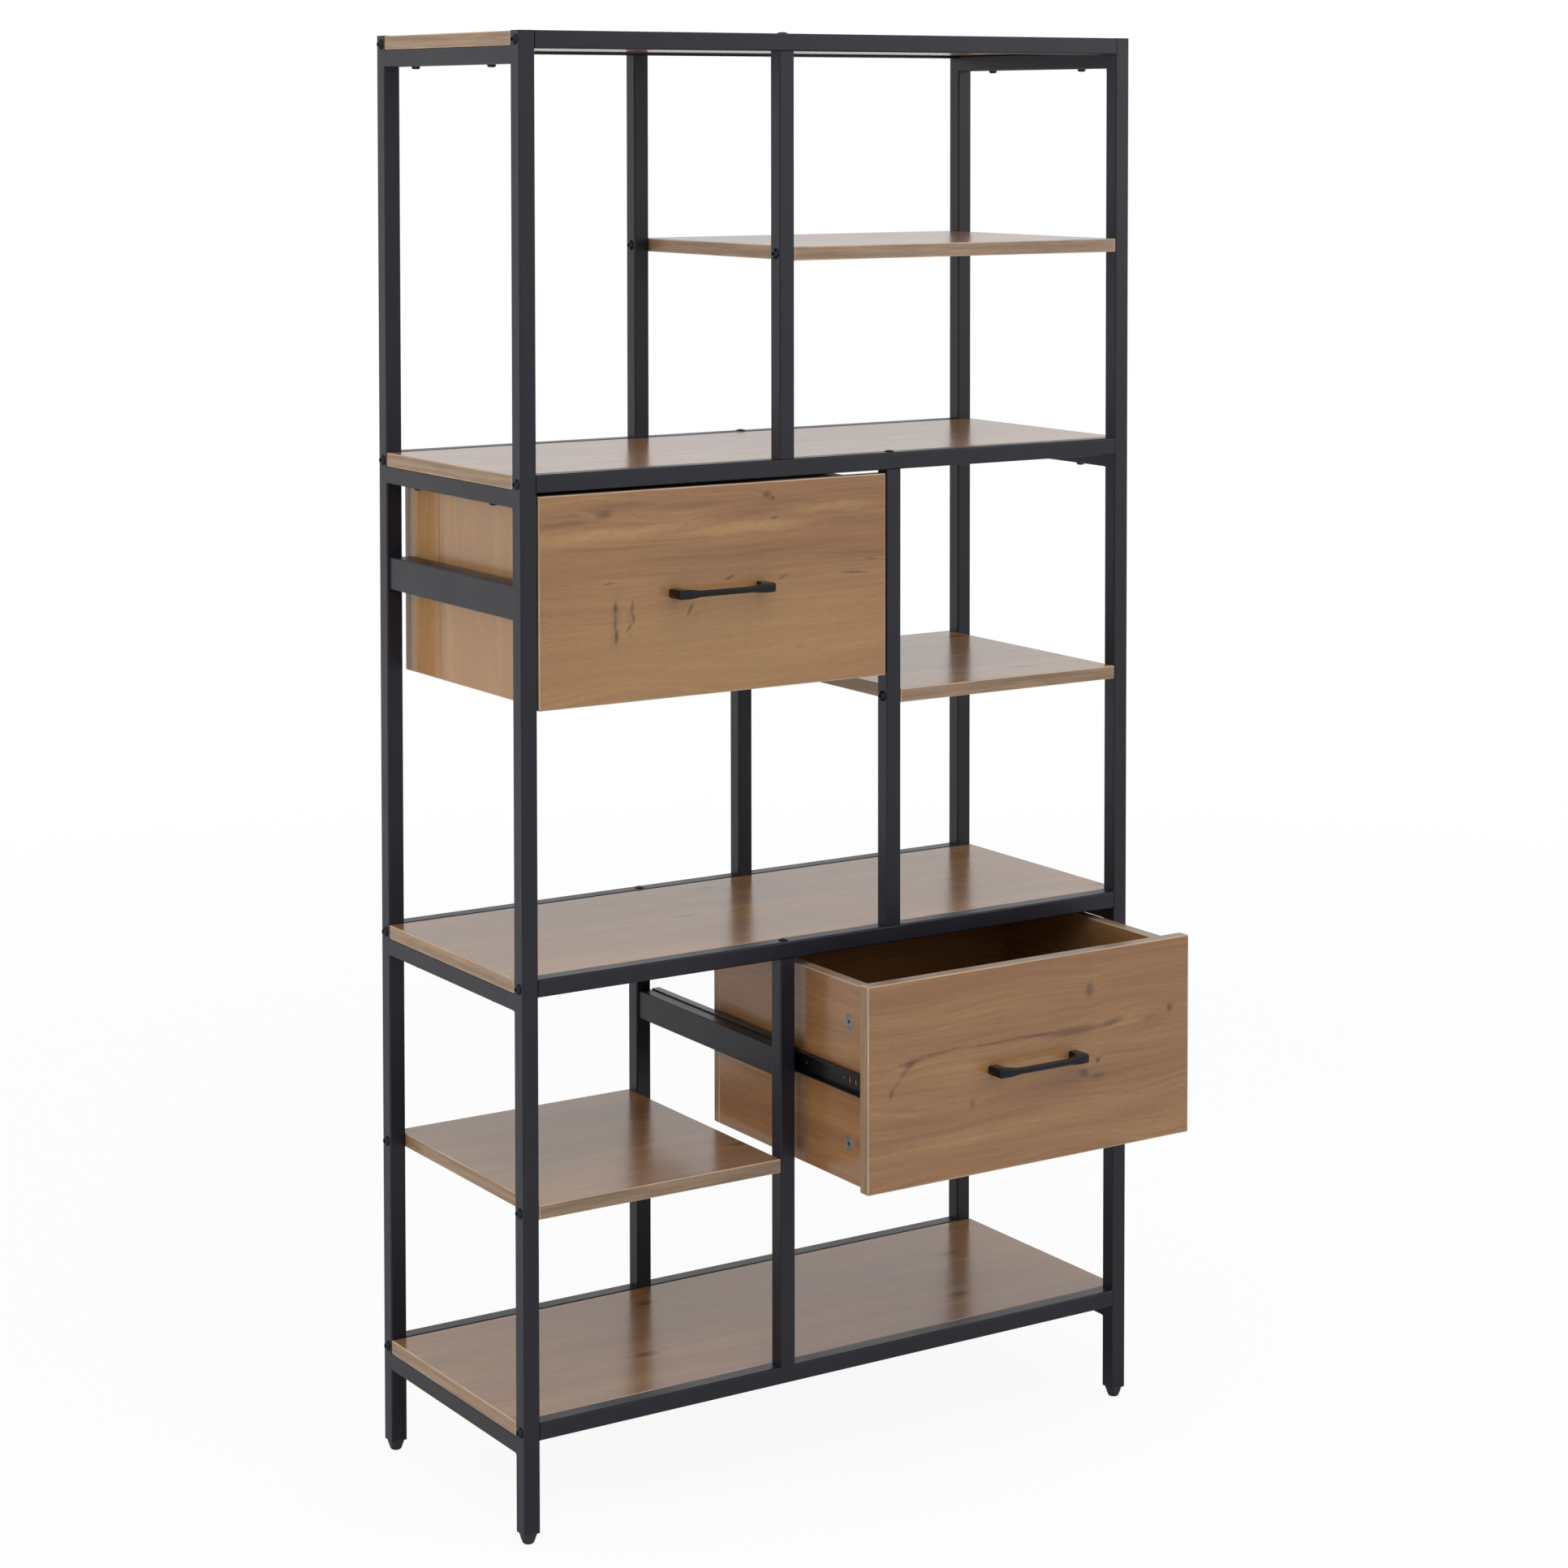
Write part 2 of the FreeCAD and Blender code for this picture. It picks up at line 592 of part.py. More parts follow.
def make_bolts():
    plate_reach = "Sizes.tube + Sizes.end_plate + Sizes.bolt_past_plate"
    shelf_reach = "Sizes.tube + Sizes.shelf_bolt_reach"
    frame_bolt = bolt_body("frame_bolt", plate_reach, "Sizes.bolt_head_high")
    divider_bolt = bolt_body("divider_bolt", plate_reach, "Sizes.divider_head_high")
    shelf_bolt = bolt_body("shelf_bolt", shelf_reach, "Sizes.bolt_head_high")
    low_bolt = bolt_body("low_bolt", shelf_reach, "Sizes.low_head_high")
    outside = "Sizes.frame_width / 2"
    levels = ("frame_height", "upper_level", "middle_level", "bottom_level")
    turns = {"-": HEAD_LEFT, "": HEAD_RIGHT}

    rail_bolts = []
    for level in levels:
        rail = "Sizes.%s - Sizes.tube / 2" % level
        for _, side in LEFT_AND_RIGHT:
            for _, end in FRONT_AND_REAR:
                rail_bolts.append((frame_bolt, side + outside, end + "Places.post_y", rail,
                                   turns[side]))
    copies("rail_bolts", rail_bolts)

    divider_bolts = []
    for side, low, high in (("-", "upper_level", "frame_height"),
                            ("", "middle_level", "upper_level"),
                            ("-", "bottom_level", "middle_level")):
        for _, end in FRONT_AND_REAR:
            x = side + "Sizes.divider_offset"
            y = end + "Places.post_y"
            under = "Sizes.%s - Sizes.tube" % low
            divider_bolts.append((divider_bolt, x, y, "Sizes.%s" % high, NO_TURN))
            divider_bolts.append((divider_bolt, x, y, under, HEAD_DOWN))
    copies("divider_bolts", divider_bolts)

    # A shelf's outer bolts go in from outside the frame, its inner ones from the next bay.
    far_face = "(Sizes.divider_offset + Sizes.tube / 2)"
    near_face = "(Sizes.divider_offset - Sizes.tube / 2)"
    shelf_bolts = []
    for name, side, inner_x, inner_bolt, inner_turn in (
            ("top", "", "-" + far_face, shelf_bolt, HEAD_LEFT),
            ("middle", "", near_face, shelf_bolt, HEAD_LEFT),
            ("bottom", "-", "-" + near_face, low_bolt, HEAD_RIGHT)):
        z = half_shelf_middle(name)
        for _, end in FRONT_AND_REAR:
            y = end + "Places.post_y"
            shelf_bolts.append((shelf_bolt, side + outside, y, z, turns[side]))
            shelf_bolts.append((inner_bolt, inner_x, y, z, inner_turn))
    copies("half_shelf_bolts", shelf_bolts)


def make_caps_and_glides():
    plug = "Places.bore_side - 2 * Sizes.plug_gap"
    cap = new_body("cap")
    outline = new_sketch(cap, "XY_Plane")
    rectangle(outline, plug, plug)
    pad(cap, outline, "Sizes.cap_deep", "One side", backwards=True)

    glide = new_body("glide")
    inside = new_sketch(glide, "XY_Plane")
    rectangle(inside, plug, plug)
    pad(glide, inside, "Sizes.glide_plug", "One side")
    under = new_sketch(glide, "XY_Plane")
    rounded_rectangle(under, "Sizes.tube", "Sizes.tube", "Sizes.tube_corner")
    pad(glide, under, "Sizes.glide_flange", "One side", backwards=True)
    foot = new_sketch(glide, "XY_Plane", "-Sizes.glide_flange")
    rectangle(foot, "Sizes.glide_square", "Sizes.glide_square")
    pad(glide, foot, "Sizes.foot_high - Sizes.glide_flange", "One side", backwards=True)
    around = new_sketch(glide, "XZ_Plane")
    polygon(around, (
        ("Sizes.glide_cone / 2", "-Sizes.glide_flange"),
        ("Sizes.glide_base / 2", "Sizes.glide_chamfer - Sizes.foot_high"),
        ("Sizes.glide_base / 2 - Sizes.glide_chamfer", "-Sizes.foot_high"),
        ("Sizes.glide_cone", "-Sizes.foot_high"),
        ("Sizes.glide_cone", "-Sizes.glide_flange"),
    ))
    turn_away(glide, around)

    tops = []
    bottoms = []
    for _, side in LEFT_AND_RIGHT:
        for _, end in FRONT_AND_REAR:
            x = side + "Places.post_x"
            y = end + "Places.post_y"
            tops.append((cap, x, y, "Sizes.frame_height", NO_TURN))
            bottoms.append((glide, x, y, "Sizes.foot_high", NO_TURN))
    copies("post_caps", tops)
    copies("levelling_feet", bottoms)


# ---------------------------------------------------------------- drawers

def drawer_front(label):
    front = new_body(label)
    outline = new_sketch(front, "XZ_Plane")
    rectangle(outline, "Places.front_wide", "Sizes.front_high")
    pad(front, outline, "Sizes.front_thick")
    groove = new_sketch(front, "XZ_Plane", "-Sizes.front_thick / 2")
    groove_long = "Places.box_wide - 2 * Sizes.side_thick + 2 * Sizes.groove_deep"
    rectangle(groove, groove_long, "Places.groove_high", "0", "Places.groove_z")
    cut_to_depth(front, groove, "Sizes.groove_deep", along_normal=True)
    bores = new_sketch(front, "XZ_Plane", "-Sizes.front_thick / 2")
    circles(bores, cam_bolt_places(), "Sizes.cam_bolt_bore")
    cut_to_depth(front, bores, "Sizes.cam_bolt_in_front", along_normal=True)
    return front


def cam_bolt_places():
    """Across and up, from the middle of the front."""
    across = "(Places.box_wide - Sizes.side_thick) / 2"
    places = []
    for _, side in LEFT_AND_RIGHT:
        for way in ("-", "+"):
            places.append((side + across, "Places.box_z %s Sizes.cam_spread / 2" % way))
    return places


def drawer_side(label, outward):
    """A side of the box: outward is -1 on the left and 1 on the right."""
    side = new_body(label)
    outline = new_sketch(side, "YZ_Plane")
    rectangle(outline, "Places.side_long", "Places.box_high")
    pad(side, outline, "Sizes.side_thick")
    groove = new_sketch(side, "XZ_Plane")
    groove_x = "-%s * (Sizes.side_thick - Sizes.groove_deep) / 2" % outward
    rectangle(groove, "Sizes.groove_deep", "Places.groove_high", groove_x,
              "Places.groove_z - Places.box_z")
    cut_through(side, groove)
    heights = ("-Sizes.cam_spread / 2", "Sizes.cam_spread / 2")
    cam_y = "Sizes.cam_from_front - Places.side_long / 2"
    cams = new_sketch(side, "YZ_Plane", "%s * Sizes.side_thick / 2" % outward)
    circles(cams, [(cam_y, height) for height in heights], "Sizes.cam_bore")
    cut_to_depth(side, cams, "Sizes.cam_deep", along_normal=(outward == "-1"))
    front_end = new_sketch(side, "XZ_Plane", "Places.side_long / 2")
    circles(front_end, [("0", height) for height in heights], "Sizes.cam_bolt_bore")
    cut_to_depth(side, front_end, "Sizes.cam_from_front")
    return side


def drawer_back(label):
    back = new_body(label)
    outline = new_sketch(back, "XZ_Plane")
    rectangle(outline, "Places.box_wide", "Places.box_high")
    pad(back, outline, "Sizes.back_thick")
    groove = new_sketch(back, "XZ_Plane", "Sizes.back_thick / 2")
    groove_long = "Places.box_wide - 2 * Sizes.side_thick + 2 * Sizes.groove_deep"
    rectangle(groove, groove_long, "Places.groove_high", "0", "Places.groove_z - Places.box_z")
    cut_to_depth(back, groove, "Sizes.groove_deep")
    return back


def drawer_bottom(label):
    panel = new_body(label)
    outline = new_sketch(panel, "XY_Plane")
    wide = "Places.box_wide - 2 * Sizes.side_thick + 2 * Sizes.panel_in"
    rectangle(outline, wide, "Places.side_long + 2 * Sizes.panel_in")
    pad(panel, outline, "Sizes.panel_thick")
    return panel


def pull_plan(label):
    """The pull seen from above: two legs joined by a bowed bar of even thickness."""
    body = new_body(label)
    sketch = new_sketch(body, "XY_Plane")
    end = "(Sizes.pull_long / 2)"
    leg = "(Sizes.pull_long / 2 - Sizes.pull_leg)"
    rise = "(Sizes.pull_reach - Sizes.pull_end_reach)"
    outer_radius = "(%s ^ 2 + %s ^ 2) / (2 * %s)" % (end, rise, rise)
    inner_radius = "(%s) - Sizes.pull_bar" % outer_radius
    outer_centre = "(%s) - Sizes.pull_reach" % outer_radius
    # The inner arc shares the outer one's centre, so it meets the legs a little nearer the front.
    inner_end = "(%s) - sqrt((%s) ^ 2 - %s ^ 2)" % (outer_centre, inner_radius, leg)
    corners = (
        (leg, inner_end), (leg, "0"), (end, "0"), (end, "-Sizes.pull_end_reach"),
        ("-" + end, "-Sizes.pull_end_reach"), ("-" + end, "0"), ("-" + leg, "0"),
        ("-" + leg, inner_end),
    )
    points = [point(across, up) for across, up in corners]
    for index in (0, 1, 2, 4, 5, 6):
        sketch.addGeometry(Part.LineSegment(points[index], points[index + 1]))
    normal = FreeCAD.Vector(0, 0, 1)
    centre = point("0", outer_centre)
    down = -math.pi / 2
    arcs = []
    for radius, across in ((outer_radius, end), (inner_radius, leg)):
        half_angle = math.asin(value(across) / value(radius))
        circle = Part.Circle(centre, normal, value(radius))
        bow = Part.ArcOfCircle(circle, down - half_angle, down + half_angle)
        arcs.append(sketch.addGeometry(bow))
    outer, inner = arcs
    starts = ((0, 0), (1, 1), (2, 2), (3, 4), (4, 5), (5, 6))
    for line, corner in starts:
        across, up = corners[corner]
        bind(sketch, Sketcher.Constraint("DistanceX", -1, 1, line, 1, points[corner].x), across)
        bind(sketch, Sketcher.Constraint("DistanceY", -1, 1, line, 1, points[corner].y), up)
    for line in (0, 1, 3, 4):
        sketch.addConstraint(Sketcher.Constraint("Coincident", line, 2, line + 1, 1))
    sketch.addConstraint(Sketcher.Constraint("Coincident", 2, 2, outer, 2))
    sketch.addConstraint(Sketcher.Constraint("Coincident", 3, 1, outer, 1))
    sketch.addConstraint(Sketcher.Constraint("Coincident", 5, 2, inner, 1))
    sketch.addConstraint(Sketcher.Constraint("Coincident", 0, 1, inner, 2))
    sketch.addConstraint(Sketcher.Constraint("Coincident", outer, 3, inner, 3))
    sketch.addConstraint(Sketcher.Constraint("PointOnObject", outer, 3, -2))
    bind(sketch, Sketcher.Constraint("Radius", outer, value(outer_radius)), outer_radius)
    sketch.addConstraint(Sketcher.Constraint("Vertical", 2))
    sketch.addConstraint(Sketcher.Constraint("Vertical", 5))
    pad(body, sketch, "Sizes.pull_end_high")
    return body


def pull_elevation(label):
    """The pull seen from the front: wide rounded ends that run down to a narrow bar."""
    body = new_body(label)
    sketch = new_sketch(body, "XZ_Plane")
    end = "Sizes.pull_long / 2"
    waist = "Sizes.pull_waist / 2"
    shoulder = "(Sizes.pull_waist / 2 + Sizes.pull_flare)"
    wide = "Sizes.pull_end_high / 2"
    narrow = "Sizes.pull_bar_high / 2"
    quarter = ((end, wide), (shoulder, wide), (waist, narrow))
    corners = list(quarter)
    corners += [("-" + across, up) for across, up in reversed(quarter)]
    corners += [("-" + across, "-" + up) for across, up in quarter]
    corners += [(across, "-" + up) for across, up in reversed(quarter)]
    polygon(sketch, corners)
    bar = pad(body, sketch, "3 * Sizes.pull_reach")

    def at_an_end(edge):
        return runs_along_y(edge) and same(abs(edge.CenterOfMass.x), value(end))

    round_edges(body, bar, at_an_end, "Sizes.pull_rounding")
    return body


def make_pull(label, x, y, z):
    """What the plan and the elevation have in common, with a tapped bore in each leg."""
    plan = pull_plan(label + "_plan")
    elevation = pull_elevation(label + "_elevation")
    form = DOC.addObject("Part::Common", label + "_form")
    form.Base = plan
    form.Tool = elevation
    holes = []
    for side in ("-", ""):
        hole = DOC.addObject("Part::Cylinder", label + "_hole")
        hole.setExpression("Radius", "Sizes.pull_bore / 2")
        hole.setExpression("Height", "Sizes.pull_bore_deep")
        hole.Placement = FreeCAD.Placement(FreeCAD.Vector(), HEAD_FRONT)
        hole.setExpression("Placement.Base.x", side + "Places.pull_holes / 2")
        holes.append(hole)
    both = DOC.addObject("Part::MultiFuse", label + "_holes")
    both.Shapes = holes
    pull = DOC.addObject("Part::Cut", label)
    pull.Label = label
    pull.Base = form
    pull.Tool = both
    finish(pull, x, y, z)


def make_drawer(name, x, z, opened, masters):
    """One drawer: its place is the middle of the face of its front."""
    face = "Places.front_y - (%s)" % opened
    cam, cam_bolt = masters
    finish(drawer_front(name + "_drawer_front"), x, face + " + Sizes.front_thick / 2", z)
    box_z = "%s + Places.box_z" % z
    side_y = face + " + Places.side_y"
    side_x = "(Places.box_wide - Sizes.side_thick) / 2"
    for hand, sign, outward in (("left", "-", "-1"), ("right", "+", "1")):
        side = drawer_side("%s_drawer_side_%s" % (name, hand), outward)
        finish(side, "%s %s %s" % (x, sign, side_x), side_y, box_z)
    back_y = face + " + Places.back_y"
    finish(drawer_back(name + "_drawer_back"), x, back_y, box_z)
    finish(drawer_bottom(name + "_drawer_bottom"), x, side_y, "%s + Places.panel_z" % z)
    make_pull(name + "_pull", x, face, z)

    fixings = []
    cam_y = face + " + Sizes.front_thick + Sizes.cam_from_front"
    for sign, turn in (("-", HEAD_LEFT), ("+", HEAD_RIGHT)):
        for way in ("-", "+"):
            cam_x = "%s %s Places.box_wide / 2" % (x, sign)
            bolt_x = "%s %s %s" % (x, sign, side_x)
            height = "%s %s Sizes.cam_spread / 2" % (box_z, way)
            fixings.append((cam, cam_x, cam_y, height, turn))
            fixings.append((cam_bolt, bolt_x, face + " + Sizes.front_thick", height, HEAD_FRONT))
    copies(name + "_drawer_fixings", fixings)


def fixing_masters():
    """The cam and the cam bolt that draw a drawer's sides to its front."""
    cam = new_body("cam")
    outline = new_sketch(cam, "XY_Plane")
    circles(outline, (("0", "0"),), "Sizes.cam_across")
    pad(cam, outline, "Sizes.cam_deep - Sizes.cam_play", "One side", backwards=True)
    cam_side = new_sketch(cam, "XZ_Plane")
    bolt_depth = "-Sizes.side_thick / 2"
    rectangle(cam_side, "Sizes.cam_bolt_bore", "Sizes.cam_bolt_bore", "0", bolt_depth)
    cut_through(cam, cam_side)
    slot = new_sketch(cam, "XY_Plane")
    rectangle(slot, "Sizes.cam_across / 2", "Sizes.cam_slot")
    cut_to_depth(cam, slot, "Sizes.cam_slot_deep")
    cross = new_sketch(cam, "XY_Plane")
    rectangle(cross, "Sizes.cam_slot", "Sizes.cam_across / 2")
    cut_to_depth(cam, cross, "Sizes.cam_slot_deep")

    cam_bolt = new_body("cam_bolt")
    section = new_sketch(cam_bolt, "XZ_Plane")
    neck = "-Sizes.cam_from_front + Sizes.cam_across / 2"
    polygon(section, (
        ("0", "-Sizes.cam_from_front"),
        ("Sizes.cam_bolt / 4", "-Sizes.cam_from_front"),
        ("Sizes.cam_bolt / 4", neck),
        ("Sizes.cam_bolt / 2", neck),
        ("Sizes.cam_bolt / 2", "Sizes.cam_bolt_in_front - Sizes.cam_play"),
        ("0", "Sizes.cam_bolt_in_front - Sizes.cam_play"),
    ))
    revolve(cam_bolt, section)
    return cam, cam_bolt


# ---------------------------------------------------------------- telescopic slides

def channel(label, corners, bent_x):
    """A rolled member of a left-hand slide: its section, rounded where the strip is bent."""
    body = new_body(label)
    section = new_sketch(body, "XZ_Plane")
    polygon(section, corners)
    strip = pad(body, section, "Places.slide_long")
    high = max(abs(value(up)) for _, up in corners)

    def bent(edge):
        outside = same(abs(edge.CenterOfMass.z), high)
        return runs_along_y(edge) and outside and same(edge.CenterOfMass.x, value(bent_x))

    round_edges(body, strip, bent, "Sizes.slide_bend")
    return body


def both_ways(half):
    """A section that is the same above and below its middle, from its lower half."""
    return list(half) + [(across, "-(%s)" % up) for across, up in reversed(half)]


def slide_masters():
    """The members of a left-hand slide: across is measured from the rail towards the box."""
    wall = "Sizes.slide_wall"
    deep = "Sizes.outer_deep"
    low = "-Sizes.outer_high / 2"
    outer = channel("outer_member", both_ways((
        ("0", low),
        (deep, low),
        (deep, low + " + Sizes.outer_lip"),
        ("%s - %s" % (deep, wall), low + " + Sizes.outer_lip"),
        ("%s - %s" % (deep, wall), low + " + " + wall),
        (wall, low + " + " + wall),
    )), "0")

    low = "-Sizes.inner_high / 2"
    back = "Sizes.slide_space - Sizes.inner_deep"
    front = "Sizes.slide_space"
    inner = channel("inner_member", both_ways((
        (front, low),
        (back, low),
        (back, low + " + " + wall),
        ("%s - %s" % (front, wall), low + " + " + wall),
    )), front)
    from_middle = "%s - Places.slide_long / 2"
    steps = ["Sizes.slide_hole_first + %d * Sizes.slide_hole_step" % step for step in range(3)]
    for step in steps[:2]:
        slot = new_sketch(inner, "YZ_Plane")
        upright_slot(slot, from_middle % step, "0", "Sizes.slide_slot_wide",
                     "Sizes.slide_slot_high")
        cut_through(inner, slot)
    holes = new_sketch(inner, "YZ_Plane")
    centres = [(from_middle % steps[2], "0"), (from_middle % "Sizes.slide_screw", "0")]
    circles(holes, centres, "Sizes.slide_hole")
    cut_through(inner, holes)

    # A ball cage fills the race between the members, here the upper one.
    cage = new_body("ball_cage")
    section = new_sketch(cage, "XZ_Plane")
    race = "(Sizes.outer_high / 2 - Sizes.slide_wall - Sizes.cage_play)"
    seat = "(Sizes.inner_high / 2 + Sizes.cage_play)"
    lip = "(%s - %s - Sizes.cage_play)" % (deep, wall)
    rim = "(%s + Sizes.cage_play)" % back
    rectangle(section, "%s - %s" % (lip, rim), "%s - %s" % (race, seat),
              "(%s + %s) / 2" % (lip, rim), "(%s + %s) / 2" % (race, seat))
    pad(cage, section, "Sizes.cage_long")
    return outer, inner, cage


def make_slides(name, x, z, opened, masters):
    """The two slides of one drawer. Their ball cages follow it half the way."""
    outer, inner, cage = masters
    left = "%s - Places.bay / 2" % x
    right = "%s + Places.bay / 2" % x
    half_way = "-(%s) / 2" % opened
    whole_way = "-(%s)" % opened
    upside_down = FreeCAD.Rotation(X_TURN, 180)
    copies(name + "_slide_outers", (
        (outer, left, "0", z, NO_TURN), (outer, right, "0", z, OTHER_HAND)))
    copies(name + "_slide_inners", (
        (inner, left, whole_way, z, NO_TURN), (inner, right, whole_way, z, OTHER_HAND)))
    copies(name + "_ball_cages", (
        (cage, left, half_way, z, NO_TURN), (cage, left, half_way, z, upside_down),
        (cage, right, half_way, z, OTHER_HAND),
        (cage, right, half_way, z, OTHER_HAND * upside_down)))


# ---------------------------------------------------------------- checks and export

def check_document():
    """Stops if any object of the document has failed or any sub-part is not a sound solid."""
    for item in DOC.Objects:
        if "Invalid" in item.State or "Error" in item.State:
            raise RuntimeError("%s is %s" % (item.Label, item.State))
    for node in NODES:
        shape = node.Shape
        if shape.isNull() or not shape.isValid() or not shape.Solids:
            raise RuntimeError("%s is not a sound solid" % node.Label)


def export_nodes():
    os.makedirs("parts", exist_ok=True)
    for node in NODES:
        node.Shape.exportStep("parts/%s.step" % node.Label)


SHEET = fill_sheet("Sizes", SIZES, "")
fill_sheet("Places", PLACES, "=")

make_corner_posts()
make_long_rails()
make_side_rails()
make_slide_rails()
make_divider_posts()
make_full_shelves()
make_half_shelves()
make_bolts()
make_caps_and_glides()

FIXINGS = fixing_masters()
SLIDES = slide_masters()
for drawer, bay_x, drawer_z, drawer_open in (
        ("upper", "-Places.bay_x", "Places.upper_drawer_z", "0"),
        ("lower", "Places.bay_x", "Places.lower_drawer_z", "Sizes.lower_open")):
    make_drawer(drawer, bay_x, drawer_z, drawer_open, FIXINGS)
    make_slides(drawer, bay_x, drawer_z, drawer_open, SLIDES)

DOC.recompute()
check_document()
export_nodes()
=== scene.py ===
"""Finish of an open bookcase: a black tube frame, oak decor boards and two drawers on slides."""

import json
import math

import bmesh
import bpy
from bpy.props import (
    FloatProperty, FloatVectorProperty, IntProperty, PointerProperty)
from mathutils import Matrix, Vector

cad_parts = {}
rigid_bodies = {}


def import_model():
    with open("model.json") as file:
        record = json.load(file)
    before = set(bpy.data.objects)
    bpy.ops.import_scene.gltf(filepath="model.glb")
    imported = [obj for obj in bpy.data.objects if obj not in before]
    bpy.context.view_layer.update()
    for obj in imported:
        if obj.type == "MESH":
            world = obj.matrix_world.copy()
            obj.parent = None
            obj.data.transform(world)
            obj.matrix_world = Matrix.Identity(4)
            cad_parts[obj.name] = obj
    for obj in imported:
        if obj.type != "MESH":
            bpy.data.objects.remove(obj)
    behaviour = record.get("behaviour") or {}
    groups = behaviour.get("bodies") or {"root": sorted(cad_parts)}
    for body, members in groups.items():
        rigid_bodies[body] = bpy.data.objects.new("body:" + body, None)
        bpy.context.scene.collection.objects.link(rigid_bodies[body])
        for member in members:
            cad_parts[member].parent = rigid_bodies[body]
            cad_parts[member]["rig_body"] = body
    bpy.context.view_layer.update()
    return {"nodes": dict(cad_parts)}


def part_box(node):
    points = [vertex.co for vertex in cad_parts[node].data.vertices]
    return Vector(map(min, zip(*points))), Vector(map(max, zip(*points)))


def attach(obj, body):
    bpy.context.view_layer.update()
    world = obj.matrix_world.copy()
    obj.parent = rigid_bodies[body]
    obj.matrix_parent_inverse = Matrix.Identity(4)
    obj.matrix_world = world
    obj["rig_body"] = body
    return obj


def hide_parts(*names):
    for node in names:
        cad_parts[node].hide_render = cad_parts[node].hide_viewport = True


bl_info = {
    "name": "Bookcase finish",
    "version": (1, 0, 0),
    "blender": (4, 5, 0),
    "location": "3D View > Sidebar > Bookcase",
    "description": "Dresses the packed bookcase with its boards, bolts, slides and finishes",
    "category": "Object",
}

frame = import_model()

MM = 0.001
PER_MM = 1000.0     # patterns read metres, so one cycle per millimetre is a scale of 1000
AXES = "xyz"
UP, DOWN = (0.0, 0.0, 1.0), (0.0, 0.0, -1.0)
FORWARDS, REARWARDS = (0.0, -1.0, 0.0), (0.0, 1.0, 0.0)

HANDS = ("left", "right")
ENDS = ("front", "rear")
DRAWERS = ("upper", "lower")
SIDE_RAILS = [hand + "_side_rails" for hand in HANDS]
FRAME_NODES = (
    SIDE_RAILS
    + ["corner_post_%s_%s" % (hand, end) for hand in HANDS for end in ENDS]
    + ["%s_rail_%s" % (end, level)
       for end in ENDS for level in ("top", "upper", "middle", "bottom")]
    + ["slide_rail_" + place for place in (*HANDS, "upper_divider", "lower_divider")]
    + ["divider_%s_%s" % (level, end) for level in ("top", "middle", "bottom") for end in ENDS])
BOLTS = ("rail_bolts", "divider_bolts", "half_shelf_bolts")

# Each board: its node, the axis that the grain of its faces follows, and where on the printed
# decor, in metres along and across the grain, the middle of the board was cut.
SHELVES = (
    ("shelf_top", "x", (1.0, 0.0)), ("shelf_upper", "x", (2.4, 0.7)),
    ("shelf_middle", "x", (3.8, 1.4)), ("shelf_bottom", "x", (5.1, 2.1)),
    ("half_shelf_top", "x", (6.5, 2.8)), ("half_shelf_middle", "x", (7.9, 3.5)),
    ("half_shelf_bottom", "x", (9.3, 4.2)),
)
UPPER_FRONT = (20.0, 0.0)
LOWER_FRONT = (25.0, 3.0)
UPPER_SIDE = (21.3, 0.7)
DRAWER_BOARDS = (
    ("upper_drawer_front", "x", UPPER_FRONT), ("upper_drawer_side_left", "z", UPPER_SIDE),
    ("upper_drawer_side_right", "z", (22.7, 1.4)), ("upper_drawer_back", "x", (24.1, 2.1)),
    ("lower_drawer_front", "x", LOWER_FRONT), ("lower_drawer_side_left", "y", (26.8, 3.5)),
    ("lower_drawer_side_right", "y", (28.2, 4.2)), ("lower_drawer_back", "x", (29.6, 5.0)),
)
PLAIN_DECOR = 19.0      # metres along the decor, past which it has no stray knots or clouds
ROUND_KNOT = 3          # mm, half the length and height of the least knot that lines go round
MARK_CORE = 0.25        # the part of a mark, from its middle, that shows fully

# Marks of the decor on the drawers, board by board: mm from its middle along and across the
# grain, half the mark's length and half its height in mm, its slant in degrees, its strength.
KNOTS = {
    UPPER_FRONT: (
        (66, 103, 6, 4, 0, 0.70), (74, 99, 3, 3, 0, 0.75), (76, 76, 5, 1.8, 5, 0.65),
        (-148, 93, 10, 5, 10, 0.50), (-133, -12, 7, 2.6, 90, 0.80),
        (-133, -28, 11, 1.8, 88, 0.65), (-132, -43, 8, 2.6, 90, 0.80),
        (-112, -13, 8, 1.5, 80, 0.60), (-110, -25, 6, 1.6, 95, 0.60),
        (-116, -35, 6, 1.4, 50, 0.60), (16, 12, 7, 1.5, 18, 0.75), (88, 8, 6, 1.4, 20, 0.65),
        (-36, -20, 9, 2.2, 62, 0.60), (187, 6, 17, 1.2, -3, 0.70), (210, 20, 10, 1.0, -3, 0.50),
        (-142, 16, 9, 1.0, 8, 0.50),
    ),
    LOWER_FRONT: (
        (82, 73, 6, 9, 0, 0.55), (84, 75, 3, 4, 0, 0.50), (201, 35, 4, 5, 0, 0.70),
        (172, 28, 9, 1.5, 5, 0.45), (94, -12, 3, 3, 0, 0.75), (74, -24, 8, 5, -25, 0.60),
        (95, -30, 12, 4, 0, 0.45), (-86, -36, 3, 6, 0, 0.40), (-173, 21, 8, 4, 20, 0.55),
        (-198, -8, 6, 2.5, 70, 0.60),
    ),
}
